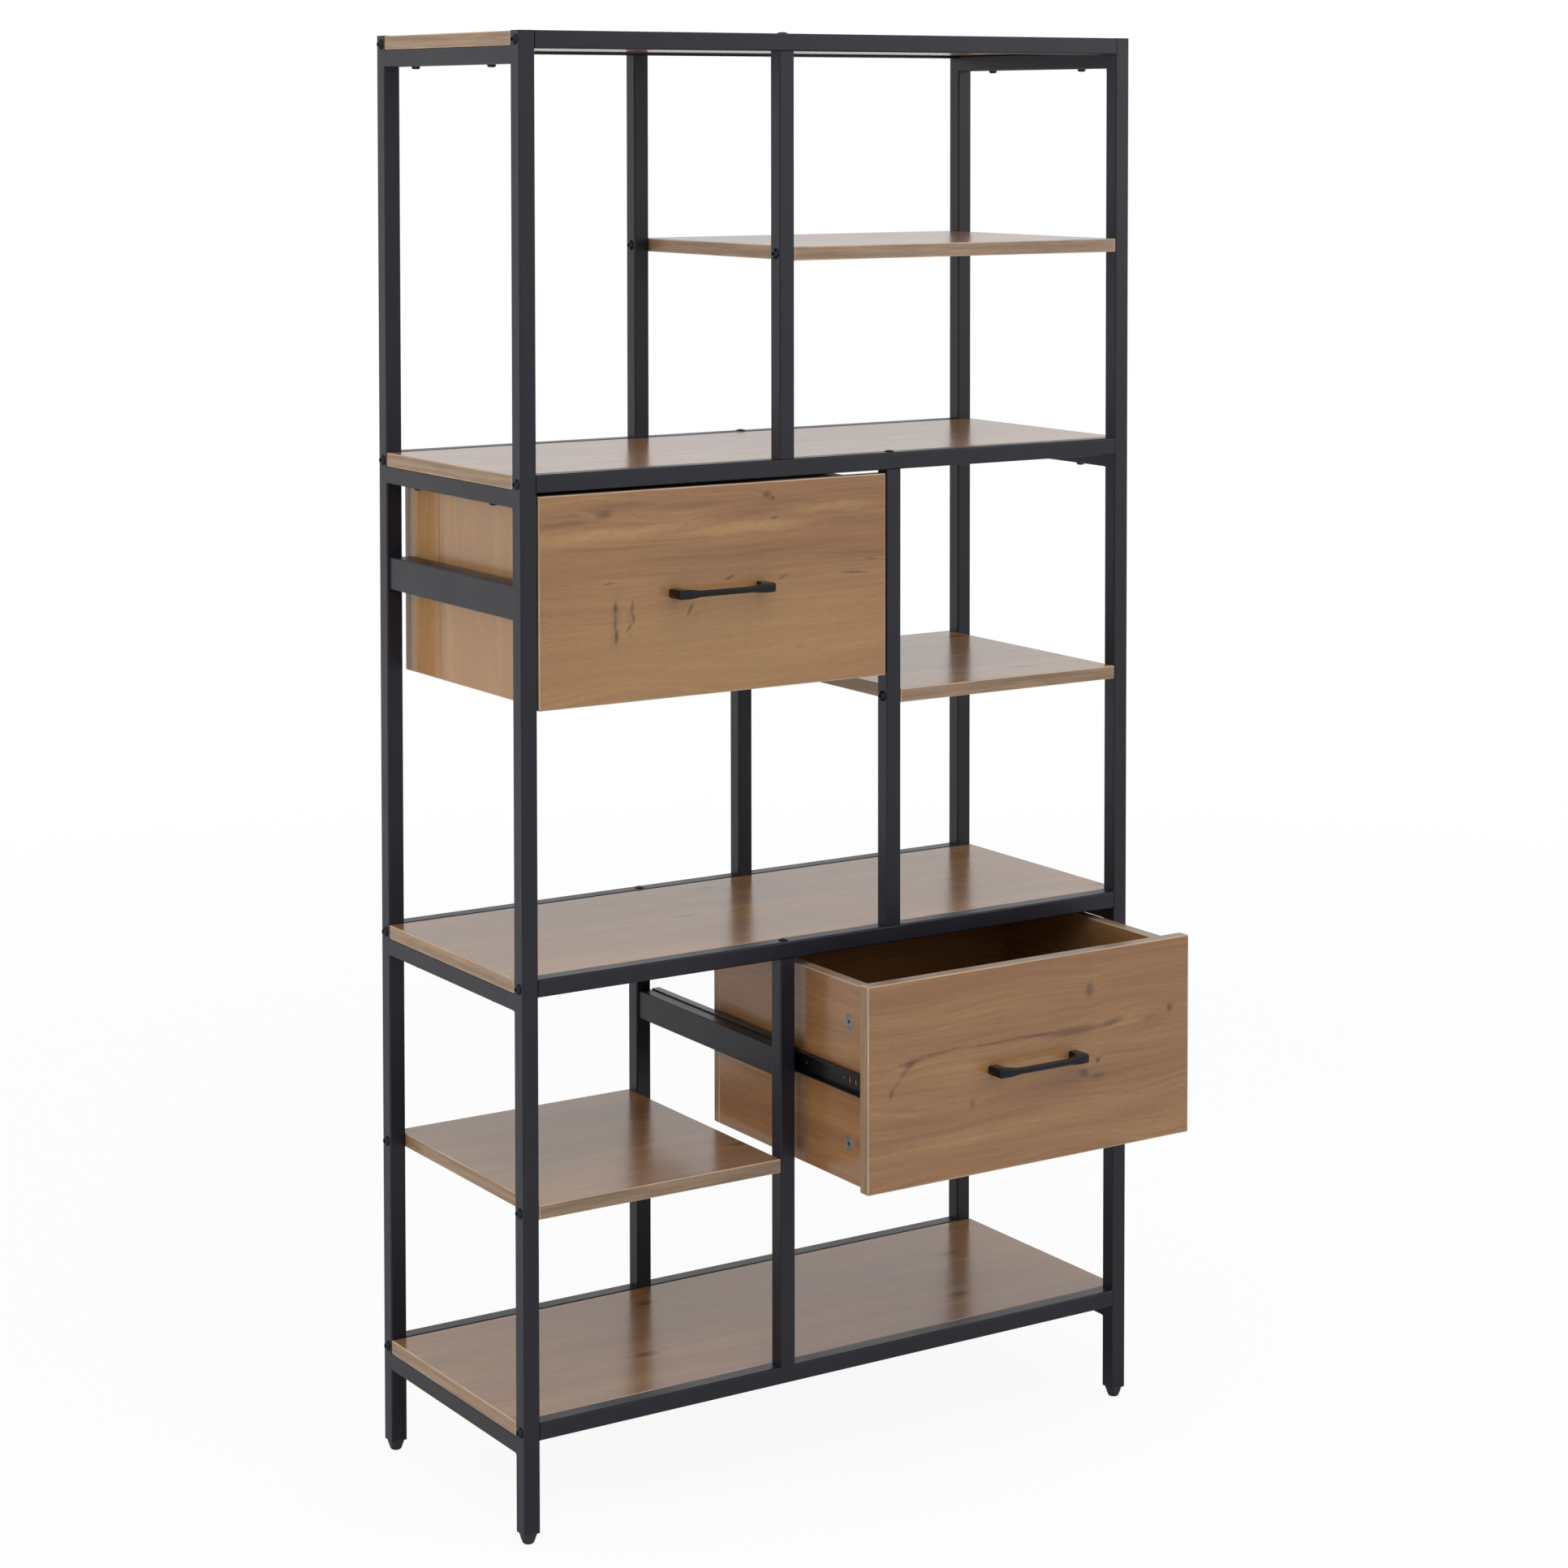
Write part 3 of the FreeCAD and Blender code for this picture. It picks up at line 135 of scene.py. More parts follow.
VEINS = {
    UPPER_FRONT: (
        (-165, 97, 62, 4, 1, 0.50), (-195, 86, 42, 3, 2, 0.45), (-120, 102, 50, 5, 0, 0.45),
        (-30, 97, 60, 5, -1, 0.40), (60, 92, 60, 9, 0, 0.30), (-150, 55, 90, 4, 0, 0.30),
        (190, 26, 55, 5, 0, 0.40), (20, 40, 150, 7, 1, 0.25), (-133, -28, 28, 7, 90, 0.30),
        (-113, -24, 20, 4, 85, 0.25),
    ),
    UPPER_SIDE: (
        (0, 82, 150, 2.2, 0.5, 0.60), (-20, 74, 110, 5, 0, 0.30),
    ),
    LOWER_FRONT: (
        (-209, 21, 24, 2.0, 1, 0.80), (-174, 24, 24, 2.2, 10, 0.85), (-130, 30, 36, 1.8, 3, 0.80),
        (-62, 30, 48, 1.4, 0, 0.75), (8, 30, 44, 1.8, -2, 0.80), (62, 27, 40, 5, 0, 0.75),
        (114, 30, 18, 4, 12, 0.70), (-186, 8, 20, 2.2, 47, 0.65), (-175, -30, 45, 5, -8, 0.35),
        (-150, -47, 70, 4, -3, 0.30), (190, 30, 40, 12, 5, 0.30), (60, -26, 60, 9, 0, 0.35),
    ),
}
# Warm patches of the decor, listed as the marks above. On the upper drawer side the first patch
# is painted light: it lifts the whole side lighter, standing in for light from the left.
GOLDEN_AND_PAINTED_LIGHT = {
    UPPER_FRONT: (
        (-120, 72, 110, 7, 2, 0.60), (40, 68, 80, 6, 1, 0.60), (150, 84, 70, 5, 0, 0.45),
        (120, -45, 120, 9, -2, 0.45), (-40, -90, 160, 12, 2, 0.35), (0, -70, 320, 75, 0, 0.40),
    ),
    LOWER_FRONT: (
        (20, -70, 180, 12, 2, 0.30),
    ),
    # Painted light: the first patch lifts the whole side lighter; the other two are streaks of
    # the decor.
    UPPER_SIDE: (
        (0, 0, 300, 300, 0, 0.40), (0, 150, 200, 20, 0, 0.70), (30, -60, 160, 14, 1, 0.60),
    ),
}


# ---------------------------------------------------------------- settings

class BoardSettings(bpy.types.PropertyGroup):
    """Edges of the boards."""
    edge_radius: FloatProperty(
        name="Edge radius", description="Rounding of the edge banding",
        default=1.1 * MM, min=0.2 * MM, max=1.5 * MM, unit="LENGTH")


class BoltSettings(bpy.types.PropertyGroup):
    """Button-head bolts of the frame."""
    socket: FloatProperty(
        name="Socket", description="Hexagon socket across its flats, as a part of the head",
        default=0.34, min=0.2, max=0.5, subtype="FACTOR")
    head: FloatProperty(
        name="Head", description="Diameter of the bolt heads",
        default=12.2 * MM, min=8.0 * MM, max=12.2 * MM, unit="LENGTH")
    shank: FloatProperty(
        name="Shank", description="Diameter of the bolt shanks",
        default=5.9 * MM, min=4.0 * MM, max=6.0 * MM, unit="LENGTH")
    turn_seed: IntProperty(
        name="Turn seed", description="Seed of the angles at which the sockets came to rest",
        default=4)


class ScrewSettings(bpy.types.PropertyGroup):
    """Pan-head screws that hold the pulls, the backs and the slides."""
    head: FloatProperty(
        name="Head", description="Diameter of the screw heads",
        default=8.0 * MM, min=5.0 * MM, max=9.0 * MM, unit="LENGTH")
    head_high: FloatProperty(
        name="Head height", description="Height of the screw heads",
        default=2.6 * MM, min=1.0 * MM, max=3.0 * MM, unit="LENGTH")
    shank: FloatProperty(
        name="Shank", description="Diameter of the screw shanks",
        default=4.0 * MM, min=2.5 * MM, max=5.0 * MM, unit="LENGTH")
    turn_seed: IntProperty(
        name="Turn seed", description="Seed of the angles at which the screws came to rest",
        default=11)


class SlideSettings(bpy.types.PropertyGroup):
    """Balls of the drawers' slides."""
    ball: FloatProperty(
        name="Ball", description="Diameter of the balls",
        default=4.1 * MM, min=2.0 * MM, max=4.2 * MM, unit="LENGTH")
    balls_in_a_cage: IntProperty(
        name="Balls in a cage", description="How many balls one cage holds",
        default=7, min=2, max=12)


class ColourSettings(bpy.types.PropertyGroup):
    """Colours that a maker may choose."""
    coating: FloatVectorProperty(
        name="Coating", description="Powder coating of the frame",
        subtype="COLOR", size=3, min=0.0, max=1.0, default=(0.0066, 0.0062, 0.0104))
    lacquer: FloatVectorProperty(
        name="Lacquer", description="Lacquer of the pulls",
        subtype="COLOR", size=3, min=0.0, max=1.0, default=(0.0030, 0.0030, 0.0036))


# ---------------------------------------------------------------- nodes

def linear(hex_colour):
    """The linear colour, with alpha, of an sRGB hex value."""
    parts = [int(hex_colour[i:i + 2], 16) / 255 for i in (1, 3, 5)]
    return tuple(c / 12.92 if c <= 0.04045 else ((c + 0.055) / 1.055) ** 2.4
                 for c in parts) + (1.0,)


def fill(tree, node, links):
    """Gives a node's inputs, by name or number, a value, a socket or a node's output in use."""
    for key, value in links.items():
        if isinstance(value, bpy.types.Node):
            value = next(socket for socket in value.outputs if socket.enabled)
        if isinstance(value, bpy.types.NodeSocket):
            tree.links.new(value, node.inputs[key])
        else:
            node.inputs[key].default_value = value


def add(tree, kind, links=None, stops=(), **settings):
    """A node of this kind in the tree: its settings, its inputs and the stops of its ramp."""
    node = tree.nodes.new(kind)
    for name, value in settings.items():
        setattr(node, name, value)
    fill(tree, node, links or {})
    if stops:
        elements = node.color_ramp.elements
        while len(elements) < len(stops):
            elements.new(1.0)
        for element, (place, colour) in zip(elements, stops):
            element.position = place
            element.color = linear(colour)
    return node


def empty_tree(owner):
    """The node tree of a material or a world, with nothing in it."""
    owner.use_nodes = True
    owner.node_tree.nodes.clear()
    return owner.node_tree


def new_material(name):
    """An empty material, with its tree and its shader."""
    material = bpy.data.materials.new(name)
    tree = empty_tree(material)
    shader = add(tree, "ShaderNodeBsdfPrincipled")
    add(tree, "ShaderNodeOutputMaterial", {"Surface": shader})
    return material, tree, shader


# ---------------------------------------------------------------- materials

def vary_gloss(tree, spots, smooth, rough):
    """A roughness that moves from one level to another with a noise."""
    return add(tree, "ShaderNodeMapRange", {
        "Value": spots, "From Min": 0.3, "From Max": 0.7, "To Min": smooth, "To Max": rough})


def vary_paint(tree, spots, paint, lift):
    """A paint that turns up to this many times lighter with a noise."""
    lighter = (min(1.0, part * lift) for part in paint)
    return add(tree, "ShaderNodeMix", {
        "Factor": spots, 6: (*paint, 1.0), 7: (*lighter, 1.0)}, data_type="RGBA")


def powder_coated_steel(coating):
    """Powder-coated steel: a baked polyester film, satin black with a blue cast.

    The film flows into a low orange peel about 1.5 mm across, so its sheen is soft and breaks up
    a little, and it is never as dark as bare black paint.
    """
    material, tree, shader = new_material("powder_coated_steel")
    here = add(tree, "ShaderNodeTexCoord").outputs["Object"]
    peel = add(tree, "ShaderNodeTexNoise", {
        "Vector": here, "Scale": PER_MM / 1.5, "Detail": 2.0, "Roughness": 0.45})
    film = add(tree, "ShaderNodeTexNoise", {"Vector": here, "Scale": PER_MM / 70, "Detail": 3.0})
    tone = vary_paint(tree, film, coating, 1.5)
    gloss = vary_gloss(tree, film, 0.34, 0.42)
    bump = add(tree, "ShaderNodeBump", {"Height": peel, "Strength": 0.25, "Distance": 0.06 * MM})
    fill(tree, shader, {"IOR": 1.36, "Base Color": tone, "Roughness": gloss, "Normal": bump})
    return material


def streaks(tree, where, long, wide, detail, offset=0.0):
    """Noise drawn out along the grain: its spots are about this long and this wide, in mm."""
    drawn = add(tree, "ShaderNodeMapping", {
        "Vector": where, "Location": (offset, offset, 0.0),
        "Scale": (PER_MM / long, PER_MM / wide, 1.0)})
    return add(tree, "ShaderNodeTexNoise", {
        "Vector": drawn, "Scale": 1.0, "Detail": detail, "Roughness": 0.55})


def shake(tree, where, noise, reach):
    """Places on the decor, moved by a noise through this reach, in mm along and across."""
    reach = (reach[0] * MM, reach[1] * MM, 0.0)
    shift = add(tree, "ShaderNodeVectorMath", {0: noise, 1: reach}, operation="MULTIPLY")
    moved = add(tree, "ShaderNodeVectorMath", {0: where, 1: shift}, operation="ADD")
    back = tuple(-part / 2 for part in reach)
    return add(tree, "ShaderNodeVectorMath", {0: moved, 1: back}, operation="ADD")


def weigh(tree, total, levels):
    """A total, and some levels added to it, each times its weight."""
    for level, weight in levels:
        total = add(tree, "ShaderNodeMath", {
            0: level, 1: weight, 2: total}, operation="MULTIPLY_ADD")
    return total


def show_marks(tree, where, marks, reach):
    """How strongly some marks show at a place: fully near a middle, not at all past the reach.

    The reach is a number of half lengths and half heights.
    """
    total = None
    for start, group in marks.items():
        for across, up, half_long, half_high, slant, strength in group:
            near = add(tree, "ShaderNodeMapping", {
                "Vector": where,
                "Location": (start[0] + across * MM, start[1] + up * MM, 0.0),
                "Rotation": (0.0, 0.0, math.radians(slant)),
                "Scale": (half_long * MM, half_high * MM, 1.0)}, vector_type="TEXTURE")
            away = add(tree, "ShaderNodeVectorMath", {0: near}, operation="LENGTH")
            level = add(tree, "ShaderNodeMapRange", {
                "Value": away, "From Min": reach, "From Max": MARK_CORE, "To Max": strength},
                interpolation_type="SMOOTHSTEP")
            total = level if total is None else add(
                tree, "ShaderNodeMath", {0: total, 1: level}, operation="MAXIMUM")
    return total


def melamine_oak():
    """Melamine-faced chipboard with a printed wild-oak decor, pressed with a fine pore.

    The print carries the colour: broad bands, wavy lines 3 to 4 mm apart that swell round the
    knots, short dark pores, reddish veins and warm patches. One patch is painted light: it lifts
    the whole upper drawer side lighter, standing in for light from the left. The film over the
    print is smooth, so a board mirrors softly what stands on it when it is seen at a low angle.
    """
    material, tree, shader = new_material("melamine_oak")
    grain = add(tree, "ShaderNodeUVMap", uv_map="grain")
    spot = add(tree, "ShaderNodeSeparateXYZ", {"Vector": grain}).outputs

    # Stray knots and grey clouds, only on the shelves' part of the decor.
    shelf = add(tree, "ShaderNodeMath", {0: spot["X"], 1: PLAIN_DECOR}, operation="LESS_THAN")
    cells = add(tree, "ShaderNodeMapping", {
        "Vector": grain, "Scale": (PER_MM / 420, PER_MM / 190, 1.0)})
    centre = add(tree, "ShaderNodeTexVoronoi", {
        "Vector": cells, "Scale": 1.0}, voronoi_dimensions="2D")
    stray = add(tree, "ShaderNodeMapRange", {
        "Value": centre, "From Min": 0.05, "From Max": 0.012, "To Max": 0.8})
    stray = add(tree, "ShaderNodeMath", {0: stray, 1: shelf}, operation="MULTIPLY")
    round_stray = add(tree, "ShaderNodeMapRange", {
        "Value": centre, "From Min": 0.30, "From Max": 0.02}, interpolation_type="SMOOTHSTEP")
    cloud = add(tree, "ShaderNodeMapRange", {
        "Value": streaks(tree, grain, 260, 95, 3.0, 13.0), "From Min": 0.47, "From Max": 0.68,
        "To Max": 0.55})
    cloud = add(tree, "ShaderNodeMath", {0: cloud, 1: shelf}, operation="MULTIPLY")

    # The lines of growth: straight ones that wander slowly, waver finely and swell at knots.
    slow = streaks(tree, grain, 330, 80, 1.0)
    quick = streaks(tree, grain, 48, 11, 2.0, 7.0)
    round_knots = {start: [knot for knot in group if min(knot[2], knot[3]) >= ROUND_KNOT]
                   for start, group in KNOTS.items()}
    swell = show_marks(tree, grain, round_knots, 4.5)
    swell = add(tree, "ShaderNodeMath", {0: swell, 1: round_stray}, operation="MAXIMUM")
    line = weigh(tree, spot["Y"], ((slow, 45 * MM), (quick, 2.2 * MM), (swell, 7 * MM)))
    flow = add(tree, "ShaderNodeCombineXYZ", {"X": spot["X"], "Y": line})
    bands = streaks(tree, flow, 800, 42, 1.0, 1.0)
    rings = streaks(tree, flow, 420, 8, 2.0, 3.0)
    lines = streaks(tree, flow, 110, 3.4, 2.0, 5.0)
    fibres = streaks(tree, flow, 14, 0.7, 1.0, 9.0)
    tone = weigh(tree, 0.0, ((bands, 0.46), (rings, 0.22), (lines, 0.32)))
    colour = add(tree, "ShaderNodeValToRGB", {"Fac": tone}, (
        (0.36, "#7E5A3B"), (0.44, "#875F3D"), (0.50, "#8C6540"), (0.57, "#936C45"),
        (0.66, "#9D784E")))

    # Marks: ragged at their edges, and drawn over the lines.
    ragged = shake(tree, grain, streaks(tree, grain, 9, 2.2, 3.0, 21.0), (5.0, 3.2))
    # Warm patches of the decor; one of them is painted light that lifts the whole upper drawer
    # side.
    golden_and_painted_light = show_marks(tree, shake(tree, grain, quick, (0.0, 14.0)), GOLDEN_AND_PAINTED_LIGHT, 1.6)
    veins = show_marks(tree, ragged, VEINS, 1.6)
    knots = show_marks(tree, ragged, KNOTS, 1.5)
    knots = add(tree, "ShaderNodeMath", {0: knots, 1: stray}, operation="MAXIMUM")
    broken = add(tree, "ShaderNodeMapRange", {
        "Value": rings, "From Min": 0.62, "From Max": 0.42, "To Min": 0.35})
    veins = add(tree, "ShaderNodeMath", {0: veins, 1: broken}, operation="MULTIPLY")
    pores = add(tree, "ShaderNodeMapRange", {
        "Value": fibres, "From Min": 0.56, "From Max": 0.72, "To Max": 0.34})
    for level, layer in ((golden_and_painted_light, "#A98556"), (cloud, "#6F5A4B"), (veins, "#5E3C2B"),
                         (pores, "#5B3D26"), (knots, "#3F2A22")):
        colour = add(tree, "ShaderNodeMix", {
            "Factor": level, 6: colour, 7: linear(layer)}, data_type="RGBA")
    gloss = add(tree, "ShaderNodeMapRange", {
        "Value": lines, "From Min": 0.35, "From Max": 0.65, "To Min": 0.20, "To Max": 0.25})
    pressed = add(tree, "ShaderNodeBump", {
        "Height": fibres, "Strength": 0.15, "Distance": 0.03 * MM}, invert=True)
    fill(tree, shader, {
        "IOR": 1.5, "Base Color": colour, "Roughness": gloss, "Normal": pressed})
    return material


def abs_edging(name, dark, light, roughness):
    """ABS edge banding, printed to match the boards and glued on.

    It is a plain plastic strip: its streaks run along the edge and it is a little duller than
    the faces. Where its corner is rounded off it is made paler: partly the paler body of the
    plastic, partly a painted highlight on the rounding.
    """
    material, tree, shader = new_material(name)
    grain = add(tree, "ShaderNodeUVMap", uv_map="grain")
    wide = streaks(tree, grain, 160, 7, 2.0, 2.0)
    fine = streaks(tree, grain, 35, 1.2, 2.0, 6.0)
    tone = weigh(tree, 0.0, ((wide, 0.6), (fine, 0.4)))
    colour = add(tree, "ShaderNodeValToRGB", {"Fac": tone}, ((0.40, dark), (0.60, light)))
    fill(tree, shader, {"IOR": 1.5, "Base Color": colour, "Roughness": roughness})
    return material


def hardboard():
    """Hardboard: wood fibre pressed with steam, brown, smooth on top with loose darker fibres."""
    material, tree, shader = new_material("hardboard")
    here = add(tree, "ShaderNodeTexCoord").outputs["Object"]
    clumps = add(tree, "ShaderNodeTexNoise", {
        "Vector": here, "Scale": PER_MM / 18, "Detail": 5.0, "Roughness": 0.65})
    fibres = add(tree, "ShaderNodeTexNoise", {
        "Vector": here, "Scale": PER_MM / 1.6, "Detail": 3.0, "Roughness": 0.7,
        "Distortion": 1.5})
    tone = add(tree, "ShaderNodeMath", {0: clumps, 1: fibres}, operation="MULTIPLY")
    colour = add(tree, "ShaderNodeValToRGB", {"Fac": tone}, (
        (0.15, "#55391F"), (0.27, "#6F4F31"), (0.40, "#86653F")))
    bump = add(tree, "ShaderNodeBump", {
        "Height": fibres, "Strength": 0.3, "Distance": 0.05 * MM})
    fill(tree, shader, {"Base Color": colour, "Roughness": 0.62, "Normal": bump})
    return material


def black_lacquered_zinc(lacquer):
    """Zinc die-casting under a black lacquer: semi-gloss, with a faint flow in the lacquer."""
    material, tree, shader = new_material("black_lacquered_zinc")
    here = add(tree, "ShaderNodeTexCoord").outputs["Object"]
    flow = add(tree, "ShaderNodeTexNoise", {"Vector": here, "Scale": PER_MM / 14, "Detail": 1.0})
    tone = vary_paint(tree, flow, lacquer, 1.8)
    gloss = vary_gloss(tree, flow, 0.16, 0.21)
    fill(tree, shader, {"IOR": 1.3, "Base Color": tone, "Roughness": gloss})
    return material


def black_ecoated_steel():
    """Cold-rolled steel strip, dip-coated black: thin, smooth, with the mill's lines along it."""
    material, tree, shader = new_material("black_ecoated_steel")
    here = add(tree, "ShaderNodeTexCoord").outputs["Object"]
    drawn = add(tree, "ShaderNodeMapping", {
        "Vector": here, "Scale": (PER_MM / 1.2, PER_MM / 60, PER_MM / 1.2)})
    lines = add(tree, "ShaderNodeTexNoise", {"Vector": drawn, "Scale": 1.0, "Detail": 3.0})
    colour = add(tree, "ShaderNodeValToRGB", {"Fac": lines}, (
        (0.35, "#060708"), (0.65, "#0E0F12")))
    gloss = vary_gloss(tree, lines, 0.26, 0.34)
    fill(tree, shader, {"IOR": 1.4, "Base Color": colour, "Roughness": gloss})
    return material


def moulded_polypropylene():
    """Injection-moulded black polypropylene with a spark-eroded skin: matt and finely pitted."""
    material, tree, shader = new_material("moulded_polypropylene")
    here = add(tree, "ShaderNodeTexCoord").outputs["Object"]
    pits = add(tree, "ShaderNodeTexNoise", {
        "Vector": here, "Scale": PER_MM / 0.5, "Detail": 2.0})
    colour = add(tree, "ShaderNodeValToRGB", {"Fac": pits}, (
        (0.3, "#0E0E10"), (0.7, "#17171A")))
    bump = add(tree, "ShaderNodeBump", {
        "Height": pits, "Strength": 0.4, "Distance": 0.04 * MM})
    fill(tree, shader, {
        "IOR": 1.49, "Base Color": colour, "Roughness": 0.5, "Normal": bump})
    return material


def metal(name, dark, light, roughness, spot_mm, stretch=(1.0, 1.0, 1.0)):
    """A bare metal whose tone and gloss vary in spots of a given size."""
    material, tree, shader = new_material(name)
    here = add(tree, "ShaderNodeTexCoord").outputs["Object"]
    drawn = add(tree, "ShaderNodeMapping", {"Vector": here, "Scale": stretch})
    spots = add(tree, "ShaderNodeTexNoise", {
        "Vector": drawn, "Scale": PER_MM / spot_mm, "Detail": 3.0})
    colour = add(tree, "ShaderNodeValToRGB", {"Fac": spots}, ((0.35, dark), (0.65, light)))
    gloss = vary_gloss(tree, spots, *roughness)
    fill(tree, shader, {"Metallic": 1.0, "Base Color": colour, "Roughness": gloss})
    return material


def black_oxide_steel():
    """Steel blackened in hot salts: a thin dark skin, oiled, that still glints at its edges."""
    return metal("black_oxide_steel", "#222326", "#33353A", (0.30, 0.40), 2.0)


def zinc_die_casting():
    """Zinc as it leaves the die: grey and dull, mottled where the metal chilled."""
    return metal("zinc_die_casting", "#7D8080", "#9A9C9A", (0.38, 0.52), 1.4)


def zinc_plated_steel():
    """Steel screws, barrel-plated and passivated: bright grey, slightly clouded."""
    return metal("zinc_plated_steel", "#8E918F", "#B3B4AE", (0.26, 0.36), 1.0)


def oiled_steel_strip():
    """Cold-rolled steel strip, punched and oiled: grey, with the mill's lines along it."""
    return metal("oiled_steel_strip", "#6E7072", "#8C8E8E", (0.28, 0.38), 1.0,
                 (1.0, 0.03, 1.0))


def bearing_steel():
    """Ground and polished bearing steel: almost a mirror."""
    return metal("bearing_steel", "#A4A6A8", "#B0B2B4", (0.06, 0.10), 0.8)


# ---------------------------------------------------------------- mesh helpers

MERGE = 0.001 * MM          # corners closer than this are one
FLAT = math.radians(0.5)    # faces that meet at less than this are one flat face
# Edges that turn by more than this many degrees stay sharp on turned, ground, rounded pieces.
SHARP_TURNED, SHARP_GROUND, SHARP_ROUNDED = 32, 40, 50


def merged_copy(node):
    """The CAD node's shape with its corners joined and its flat faces whole."""
    shape = bmesh.new()
    shape.from_mesh(frame["nodes"][node].data)
    bmesh.ops.remove_doubles(shape, verts=shape.verts, dist=MERGE)
    bmesh.ops.dissolve_limit(shape, angle_limit=FLAT, verts=shape.verts, edges=shape.edges)
    return shape


def separate_solids(node):
    """The points of each separate solid of a CAD node."""
    shape = merged_copy(node)
    waiting = set(shape.verts)
    solids = []
    while waiting:
        solid = [waiting.pop()]
        for vert in solid:
            for edge in vert.link_edges:
                other = edge.other_vert(vert)
                if other in waiting:
                    waiting.remove(other)
                    solid.append(other)
        solids.append([vert.co.copy() for vert in solid])
    shape.free()
    if not solids:
        raise RuntimeError("%s has no solids" % node)
    return sorted(solids, key=lambda points: tuple(limits(points)[0]))


def limits(points):
    """The low corner, the high corner and the middle of the box round some points."""
    low = Vector([min(point[axis] for point in points) for axis in range(3)])
    high = Vector([max(point[axis] for point in points) for axis in range(3)])
    return low, high, (low + high) / 2


def mesh_of(name, shape):
    """A mesh with the faces of a bmesh, which it uses up."""
    mesh = bpy.data.meshes.new(name)
    shape.to_mesh(mesh)
    shape.free()
    return mesh


def set_down(name, data):
    """A new object in the scene."""
    item = bpy.data.objects.new(name, data)
    bpy.context.scene.collection.objects.link(item)
    return item


def new_piece(name, shape, materials, body, replaced=(), smooth_below=None):
    """A finished piece from a bmesh, riding on a body, in place of the CAD nodes named.

    Edges sharper than the angle given, in degrees, stay sharp in a smooth piece.
    """
    mesh = mesh_of(name, shape)
    for material in materials:
        mesh.materials.append(material)
    if smooth_below is not None:
        mesh.shade_smooth()
        mesh.set_sharp_from_angle(angle=math.radians(smooth_below))
    piece = set_down(name, mesh)
    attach(piece, body)
    if replaced:
        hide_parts(*replaced)


def coat(nodes, material):
    """Gives the CAD nodes' own shapes this material."""
    for name in nodes:
        mesh = frame["nodes"][name].data
        mesh.materials.clear()
        mesh.materials.append(material)


def body_of(node):
    """The body that a CAD node rides on."""
    return frame["nodes"][node]["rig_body"]


def box_middle(node):
    """The middle of a CAD node's box."""
    low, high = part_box(node)
    return (low + high) / 2


def skin(shape, loops):
    """Closes a shape round some loops of points: walls from one to the next, and both ends."""
    for one, other in zip(loops, loops[1:]):
        for step in range(len(one)):
            after = (step + 1) % len(one)
            shape.faces.new((one[step], one[after], other[after], other[step]))
    shape.faces.new(loops[0])
    shape.faces.new(loops[-1])
    bmesh.ops.recalc_face_normals(shape, faces=shape.faces)


def quarter_turn(steps):
    """The angles of a quarter turn in equal steps."""
    return [math.pi / 2 * step / steps for step in range(steps + 1)]


def lathe(rings, segments=48):
    """A turned shape from its rings, each a radius, or a radius at an angle, and a height."""
    shape = bmesh.new()
    loops = []
    for radius, height in rings:
        loop = []
        for step in range(segments):
            angle = math.tau * step / segments
            reach = radius(angle) if callable(radius) else radius
            spot = (reach * math.cos(angle), reach * math.sin(angle), height)
            loop.append(shape.verts.new(spot))
        loops.append(loop)
    skin(shape, loops)
    return shape


def join_shape(shape, other, material=0):
    """Moves the faces of another bmesh into this one, with the material of this number."""
    mesh = mesh_of("joined", other)
    first = len(shape.faces)
    shape.from_mesh(mesh)
    bpy.data.meshes.remove(mesh)
    shape.faces.ensure_lookup_table()
    for face in shape.faces[first:]:
        face.material_index = material


# ---------------------------------------------------------------- fasteners

SOCKET_RIM = 0.62   # radius of the flat round a hexagon socket, as a part of its flats
HEAD_RIM = 0.8      # points further out than this part of a head's radius are on the head


def hexagon(flats):
    """The radius, at an angle, of a hexagon this far across its flats."""
    sixth = math.pi / 3
    return lambda angle: flats / 2 / math.cos((angle + sixth / 2) % sixth - sixth / 2)


def cross(arm, wide):
    """The radius, at an angle, of a cross recess: half its span and half an arm's width."""
    def radius(angle):
        turned = (angle + math.pi / 4) % (math.pi / 2) - math.pi / 4
        if abs(math.tan(turned)) * arm < wide:
            return arm / math.cos(turned)
        return wide / abs(math.sin(turned))
    return radius


def button_head(flats):
    """A domed head with a hexagon socket, one across and one high."""
    socket = hexagon(flats)
    rim = flats * SOCKET_RIM
    return lathe((
        (0.50, 0.0), (0.50, 0.18), (0.485, 0.34), (0.45, 0.52), (0.39, 0.72), (0.31, 0.89),
        (rim + 0.02, 0.97), (rim, 0.98), (socket, 0.95), (socket, 0.40)))


def pan_head():
    """A rounded head with a cross recess, one across and one high."""
    recess = cross(0.27, 0.065)
    return lathe((
        (0.50, 0.0), (0.50, 0.30), (0.485, 0.52), (0.45, 0.72), (0.39, 0.87), (0.30, 0.97),
        (recess, 0.96), (cross(0.17, 0.045), 0.45)))


def round_shank():
    """A shank that hangs below its seat, one across and one long."""
    return lathe(((0.5, 0.0), (0.5, -0.93), (0.42, -1.0)), segments=24)


def new_tree(name, inputs):
    """A geometry tree with these inputs, and the sockets that they come in by."""
    tree = bpy.data.node_groups.new(name, "GeometryNodeTree")
    for label, kind in inputs:
        tree.interface.new_socket(label, in_out="INPUT", socket_type="NodeSocket" + kind)
    tree.interface.new_socket("Geometry", in_out="OUTPUT", socket_type="NodeSocketGeometry")
    return tree, add(tree, "NodeGroupInput").outputs


def end_tree(tree, placed, finish):
    """Makes what a tree placed real, and gives it its material."""
    real = add(tree, "GeometryNodeRealizeInstances", {"Geometry": placed})
    painted = add(tree, "GeometryNodeSetMaterial", {"Geometry": real, "Material": finish})
    add(tree, "NodeGroupOutput", {"Geometry": painted})
    return tree


